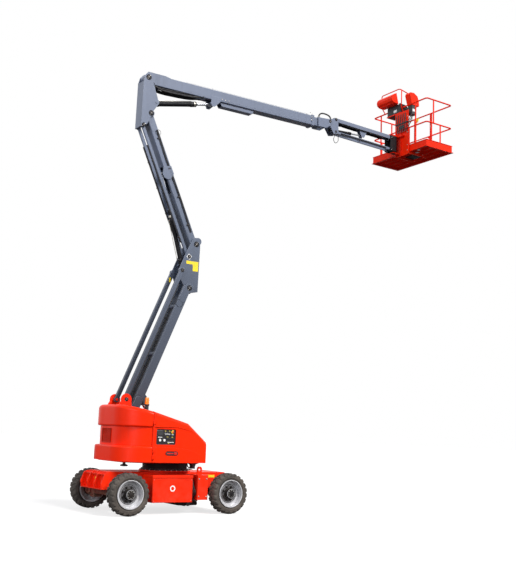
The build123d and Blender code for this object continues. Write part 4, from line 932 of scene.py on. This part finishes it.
# %% [markdown]
# ## Rings, covers and knuckle marks
# The lower riser's cheeks are doubled by a welded ring round each pin, and thin rings mark the round covers of its
# openings. The mid knuckle carries a yellow warning angle on both faces, left blank. Such marks are thin plates a
# millimetre or two thick, so they catch the light at their edges as a decal on sheet steel does.

# %% Rings, seams and labels on the arm
rings = Batch("riser_cheeks", "lower_riser", "grey_paint", 0.0015)
for side in both:
    for middle, inner, outer in ((foot, 0.050, 0.078), (knee, 0.048, 0.070)):
        rings.turned(ring(inner, outer, -0.002, 0.0), facing(middle + Vector((0, side * 0.2065, 0)), (0, side, 0)), 40)
rings.done()
spun("riser_access_covers", "lower_riser", "black_paint", 0.0008, ring(0.068, 0.074, -0.002, 0.002),
     [facing(riser_lower(u, 0.064, side * 0.2055), (0, side, 0)) for side in both for u in (0.335, 2.265)], 40)
spun("upper_access_covers", "upper_riser", "black_paint", 0.0008, ring(0.052, 0.058, -0.002, 0.002),
     [facing(riser_upper(2.20, -0.020, side * 0.0955), (0, side, 0)) for side in both], 40)
slabs("knuckle_label", "mid_knuckle", "yellow", 0.0008,
      mirrored(0.139, 0.1415, (0.262, 0.520, 4.500, 4.560), (0.405, 0.520, 4.375, 4.500)))
slabs("knuckle_plate", "mid_knuckle", "white", 0.0008, mirrored(0.139, 0.142, (-0.042, 0.042, -0.042, 0.042)),
      Matrix.Translation((upper_link_foot.x, 0, upper_link_foot.z)) @ Matrix.Rotation(0.6, 4, "Y"))

# %% [markdown]
# ## Cylinders
# A hydraulic cylinder has a gland nut screwed into the end of its barrel, a port block at each end and a steel pipe
# that joins them, with a hose to the lower port. The gland stays bright where the rod wipes it. Each set is built
# along the barrel's own line, from its base pin towards the rod.

# %% Glands, ports and pipes
# Base pin, rod eye, radius of the barrel, its length and the side of its pipe
cylinders = {"lower_lift_barrel": ((0.185, 0, 0.980), (-0.428, 0, 1.910), 0.052, 0.56, 1),
             "upper_lift_barrel": ((0.235, 0, 4.497), (-0.266, 0, 6.156), 0.048, 0.93, 1),
             "luff_barrel": ((-0.529, 0, 7.467), (0.700, 0, 7.755), 0.052, 0.90, 1),
             "jib_lift_barrel": ((3.700, 0, 7.920), (4.600, 0, 7.985), 0.0300, 0.55, -1)}
for name, (start, end, radius, reach, side) in cylinders.items():
    run, line = along(start, end), heading(Vector(start), Vector(end))
    fitting = Batch(name + "_gland", name, "zinc", 0.0008)
    outer = radius * 1.02
    gland = facing(run(reach, 0), line)
    fitting.turned([(radius * 0.7, -0.03), (outer, -0.03), (outer, 0.0), (radius * 0.86, 0.012),
                    (radius * 0.7, 0.012), (radius * 0.7, -0.03)], gland, 28)
    fitting.tube([run(0.11, side * radius * 1.15, 0.018), run(0.13, side * radius * 1.22, 0.018),
                  run(reach - 0.08, side * radius * 1.22, 0.018), run(reach - 0.06, side * radius * 1.12, 0.018)],
                 radius * 0.13, 8)
    fitting.done()
    ports = Batch(name + "_ports", name, "dark_steel", 0.0015)
    for at in (0.085, reach - 0.07):
        ports.turned([(radius * 0.98, -0.022), (radius * 1.04, -0.018), (radius * 1.04, 0.018),
                      (radius * 0.98, 0.022), (radius * 0.98, -0.022)], facing(run(at, 0), line), 28)
        ports.turned([(0, 0), (radius * 0.34, 0), (radius * 0.34, radius * 0.3), (radius * 0.26, radius * 0.34),
                      (0, radius * 0.34)],
                     facing(run(at, side * radius * 0.92, 0.018), run(at, side, 0.018) - run(at, 0, 0.018)), 6)
    ports.done()
print(len(cylinders), "cylinders")

# %% [markdown]
# ## Clamped hoses on the risers
# Hoses and cables that feed the boom run up inside and beside the risers in clamped bundles, so they don't hang
# free. Each bundle rides one bar only and ends at the clamp before the next pin. It is made of tubes with slightly
# different offsets, with a strap every half metre.


# %% A clamped bundle
def bundle(name, body, bar, points, radius, beside, run=None, at=(), line=(), half=()):
    """Two hoses side by side on a bar, through points u, v and y. Clamps stand at the lengths in at, on a line of
    v and y, half as wide as half, and face along run."""
    piece = Batch(name, body, "hose")
    for shift in ((0, 0, 0), beside):
        piece.tube(curved([bar(*point) + Vector(shift) for point in points]), radius, 8)
    piece.done()
    if at:
        clamp = Batch(name + "_clamps", body, "dark_steel", 0.001)
        for u in at:
            clamp.block((-half[0], -half[1], -0.012), (half[0], half[1], 0.012), facing(bar(u, *line), run))
        clamp.done()


upper_link = along(upper_link_foot, link_head)
lower_link = along(lower_link_foot, link_knee)
for word, side in sides_named:
    bundle("upper_link_lines_" + word, "upper_links", upper_link,
           [(0.30, 0.040, side * 0.0695), (0.9, 0.042, side * 0.071), (1.5, 0.040, side * 0.069),
            (2.2, 0.041, side * 0.070)], 0.0095, (0, side * 0.020, 0), heading(upper_link_foot, link_head),
           (0.4, 0.9, 1.4, 1.9), (0.040, side * 0.080), (0.022, 0.013))
bundle("lower_link_lines", "lower_links", lower_link,
       [(0.14, -0.051, -0.166), (0.8, -0.054, -0.168), (1.6, -0.051, -0.165), (2.35, -0.053, -0.167)], 0.011,
       (0, -0.023, 0), heading(lower_link_foot, link_knee), (0.35, 0.9, 1.45, 2.0), (-0.050, -0.178), (0.026, 0.014))
bundle("upper_riser_lines", "upper_riser", riser_upper,
       [(0.25, 0.02, -0.104), (0.9, 0.0, -0.106), (1.6, 0.015, -0.104), (2.25, 0.0, -0.106)], 0.0095,
       (0.019, 0, 0.008), heading(upper_foot, head), (0.4, 0.95, 1.5, 2.1), (0.008, -0.103), (0.012, 0.030))
bundle("lower_riser_lines", "lower_riser", riser_lower,
       [(0.35, 0.05, 0.139), (1.0, 0.03, 0.1385), (1.7, 0.045, 0.139), (2.3, 0.03, 0.139)], 0.0095,
       (0.019, 0, 0.008), heading(foot, knee), (0.5, 1.0, 1.5, 2.0), (0.035, 0.140), (0.010, 0.034))
slabs("link_tag", "lower_links", "yellow", 0.0008, [((-0.020, -0.045, 0.0), (0.020, 0.045, 0.002))],
      facing(lower_link(2.46, 0.0, 0.149), (0, -1, 0)))

# %% [markdown]
# ## Main boom
# Under the boom's root a bundle of hoses passes from the top knuckle along the bottom plate, beside the lift
# cylinder. Two rows of hoses droop below it; they are partly real hoses and partly a dark mass that stands in for the
# shade in the wedge under the root. The collar at the boom's end holds the wear pads in with bolts, and the
# extension's nose is bolted too.

# %% Boom hoses, collar and nose bolts
boom = along(boom_root + Vector((0, 0, -0.013)), nose)
boom_tilt = math.radians(1.24)
for word, side in sides_named:
    bundle("boom_lines_" + word, "main_boom", boom,
           [(0.10, -0.112, side * 0.078), (0.35, -0.135, side * 0.082), (0.8, -0.122, side * 0.078),
            (1.2, -0.116, side * 0.078), (1.9, -0.116, side * 0.078)], 0.010, (0, -side * 0.021, 0),
           heading(boom_root, nose), (0.75, 1.2, 1.75), (-0.113, side * 0.068), (0.034, 0.013))
    # Drooping rows: partly hoses, partly dark stand-ins for the shade under the boom's root.
    for row in (1, 2):
        bundle("boom_droop_" + str(row) + "_" + word, "main_boom", boom,
               [(0.14, -0.118, side * 0.080), (0.32, -0.150 - 0.010 * row, side * 0.084),
                (0.62, -0.138 - 0.018 * row, side * 0.082), (0.95, -0.132 - 0.014 * row, side * 0.080),
                (1.18, -0.118, side * 0.078)], 0.0105, (0, -side * 0.022, 0.002))
collar_bolts_at = 3.84
bolted("boom_bolts", "main_boom",
       (0.018, [facing(boom(collar_bolts_at, v, side * 0.112), (0, side, 0)) for side in both
                for v in (-0.07, 0.0, 0.07)]),
       (0.016, [facing(boom(u, -0.075, side * 0.100), (0, side, 0)) for side in both for u in (1.62, 1.70, 1.78)]),
       (0.018, [facing(boom(collar_bolts_at, 0.112, y), (0, 0, 1)) for y in (-0.06, 0.06)]))
slabs("boom_seam", "main_boom", "grey_paint", 0.0008,
      mirrored(0.0995, 0.1015, (-0.004, 0.004, -0.104, 0.104), (-0.6, 2.36, 0.086, 0.090),
               (-0.6, 2.36, -0.090, -0.086)),
      Matrix.Translation(boom(1.40, 0, 0)) @ Matrix.Rotation(-boom_tilt, 4, "Y"))
print("boom dressed")

# %% [markdown]
# ## Extension and jib
# The telescoping extension ends in a nose with a bolted band. Under the jib two hoses run in clamps to the platform.
# A stiff hose arches over the nose, and a loop hangs below the level bracket. Both ends of each are on one body, so
# neither stretches when the jib swings. Each free hose is drawn as a cord: one spline through a few listed points,
# straight out of its fitting first, then hanging.

# %% Nose band and jib lines
bolted("nose_bolts", "boom_extension", (0.020, [facing(boom(u, v, side * 0.088), (0, side, 0)) for side in both
                                                for u in (4.02, 4.075) for v in (0.05, -0.03)]))
for word, side in sides_named:
    bundle("jib_lines_" + word, "jib_beam", jib,
           [(0.16, -0.046, side * 0.060), (0.5, -0.052, side * 0.060), (1.0, -0.048, side * 0.060),
            (1.42, -0.050, side * 0.060)], 0.0105, (0, 0, 0.023), heading(jib_root, jib_tip),
           (0.22, 0.62, 1.02, 1.36), (-0.040, side * 0.060), (0.011, 0.022))
bundle("jib_link_lines", "jib_links", along(jib_link_root, jib_link_tip),
       [(0.16, -0.012, -0.0790), (0.6, -0.009, -0.0795), (1.1, -0.012, -0.0790), (1.46, -0.010, -0.0795)], 0.0065,
       (0, 0, 0.0145), heading(jib_link_root, jib_link_tip), (0.25, 0.75, 1.3), (-0.004, -0.0785), (0.008, 0.018))

# %% Free hoses as cords
black_hose = finishes["hose"]


def hose(name, body, points, diameter):
    """A free hose: one open spline with a round section, along the given points."""
    curve = bpy.data.curves.new(name, "CURVE")
    curve.dimensions, curve.bevel_depth, curve.bevel_resolution = "3D", diameter / 2, 3
    curve.use_fill_caps = True
    spline = curve.splines.new("NURBS")
    spline.points.add(len(points) - 1)
    for point, place in zip(spline.points, points):
        point.co = (*place, 1)
    spline.order_u, spline.use_endpoint_u = 3, True
    spline.resolution_u = 12
    curve.materials.append(black_hose)
    item = bpy.data.objects.new(name, curve)
    bpy.context.scene.collection.objects.link(item)
    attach(item, body)
    return item


arch_exit = (3.362, -0.030, 8.078)
arch = [arch_exit, (3.363, -0.031, 8.150), (3.410, -0.040, 8.212), (3.495, -0.056, 8.222), (3.578, -0.086, 8.196),
        (3.622, -0.112, 8.150), (3.624, -0.113, 8.098)]
hose("nose_arch_hose", "boom_extension", arch, 0.032)
loop_exit = (3.762, -0.094, 7.822)
loop = [loop_exit, (3.761, -0.095, 7.768), (3.722, -0.096, 7.690), (3.775, -0.097, 7.602), (3.864, -0.096, 7.668),
        (3.858, -0.095, 7.775), (3.842, -0.094, 7.834)]
hose("bracket_loop_hose", "level_bracket", loop, 0.013)
slabs("hose_glands", "level_bracket", "dark_steel", 0.0008,
      [((x - 0.012, -0.102, z - 0.012), (x + 0.012, -0.086, z + 0.010)) for x, z in ((3.762, 7.824), (3.842, 7.836))])
spun("arch_glands", "boom_extension", "dark_steel", 0.0008, disc(0.018, -0.02, 0.014),
     [Matrix.Translation(place) for place in ((3.362, -0.030, 8.075), (3.624, -0.113, 8.095))], 6)
print("two free hoses")

# %% [markdown]
# ## Platform
# The control box carries a row of switches, a red stop button and the drive stick in a rubber boot. Hydraulic hoses
# cross from the jib's head to the back of the column in a clamped cluster. Below the floor there is a foot switch
# socket and a lamp. The gate has a latch, and the rails carry two anchor rings for harnesses.

# %% Control box parts
console_top = 8.968
upward = (0, 0, 1)
spun("console_switches", "platform", "zinc", 0.0,
     [(0, 0.016), (0.0035, 0.016), (0.005, 0.004), (0.010, 0.003), (0.010, -0.002), (0, -0.002)],
     [facing((5.700 + row * 0.042, 0.105 + column * 0.052, console_top), upward)
      for row in range(3) for column in range(4)], 12)
spun("console_stop", "platform", "red_knob", 0.0008,
     [(0, 0.030), (0.014, 0.029), (0.021, 0.024), (0.021, 0.016), (0.011, 0.013), (0.011, -0.002), (0, -0.002)],
     [facing((5.715, 0.298, console_top), upward)])
spun("stick_boot", "platform", "hose", 0.001,
     [(0, 0.030), (0.012, 0.030), (0.020, 0.022), (0.016, 0.020), (0.028, 0.012), (0.024, 0.010), (0.036, 0.002),
      (0.038, -0.002), (0, -0.002)], [facing((5.775, 0.040, console_top), upward)])
slabs("console_label", "platform", "white", 0.0006,
      [((5.6625, 0.03, 8.80), (5.665, 0.13, 8.86)), ((5.745, -0.4015, 8.72), (5.825, -0.3995, 8.78))])

# %% Hoses on the column and small fittings
runs = Batch("column_hoses", "platform", "hose")
for index in range(6):
    y = -0.32 + index * 0.058
    runs.tube(curved([(5.656, y, 8.255), (5.642, y + 0.004, 8.275), (5.640, y + 0.02, 8.42),
                      (5.640, y + 0.030, 8.55), (5.645, y + 0.042, 8.66), (5.672, y + 0.045, 8.735)]), 0.0105, 8)
for index in range(3):
    z = 8.30 + index * 0.07
    runs.tube(curved([(5.646, -0.34, z), (5.645, -0.374, z + 0.03), (5.67, -0.388, z + 0.10),
                      (5.74, -0.385, z + 0.22), (5.79, -0.34, 8.66)]), 0.009, 8)
runs.done()
fittings = Batch("column_fittings", "platform", "dark_steel", 0.0015)
for index in range(6):
    fittings.turned(disc(0.0135, -0.014, 0.010), facing((5.643, -0.32 + index * 0.058, 8.268), upward), 6)
fittings.block((5.630, -0.345, 8.455), (5.655, 0.035, 8.480))
fittings.block((5.632, -0.22, 8.34), (5.655, -0.06, 8.42))
fittings.done()
bolted("column_bolts", "platform", (0.018, [facing((5.6515, y, z), (-1, 0, 0)) for y in (-0.345, 0.035)
                                            for z in (7.80, 7.92, 8.22, 8.60)]))

lamp = Batch("floor_lamp", "platform", "white", 0.001)
lamp.turned([(0, 0.012), (0.030, 0.010), (0.038, 0.0), (0.036, -0.006), (0, -0.006)],
            facing((5.80, -0.55, 7.783), (0, 0, -1)), 24)
lamp.block((5.86, -0.44, 7.7745), (5.93, -0.24, 7.7775))
lamp.done()
slabs("floor_socket", "platform", "hose", 0.002,
      [((5.96, -0.20, 7.776), (6.20, 0.10, 7.790)),
       *(((5.98, -0.18 + rib * 0.055, 7.774), (6.18, -0.165 + rib * 0.055, 7.777)) for rib in range(5))])

latch = Batch("gate_latch", "gate", "zinc", 0.001)
post_x, near_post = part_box("gate")[0][0] + 0.015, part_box("gate")[0][1]
latch.block((post_x - 0.012, near_post - 0.002, 8.52), (post_x + 0.012, near_post + 0.018, 8.60))
latch.turned(disc(0.009, 0, 0.05), facing((post_x, near_post + 0.010, 8.60), upward), 12)
latch.done()
anchors = Batch("harness_rings", "platform", "yellow", 0.0008)
for y in (-0.60, 0.62):
    anchors.block((5.700, y - 0.03, 8.42), (5.7125, y + 0.03, 8.47))
    hoop = around(16, 0.022, y, 8.405)
    anchors.tube([(5.705, *place) for place in hoop + hoop[:1]], 0.005, 8)
anchors.done()
print("platform dressed")
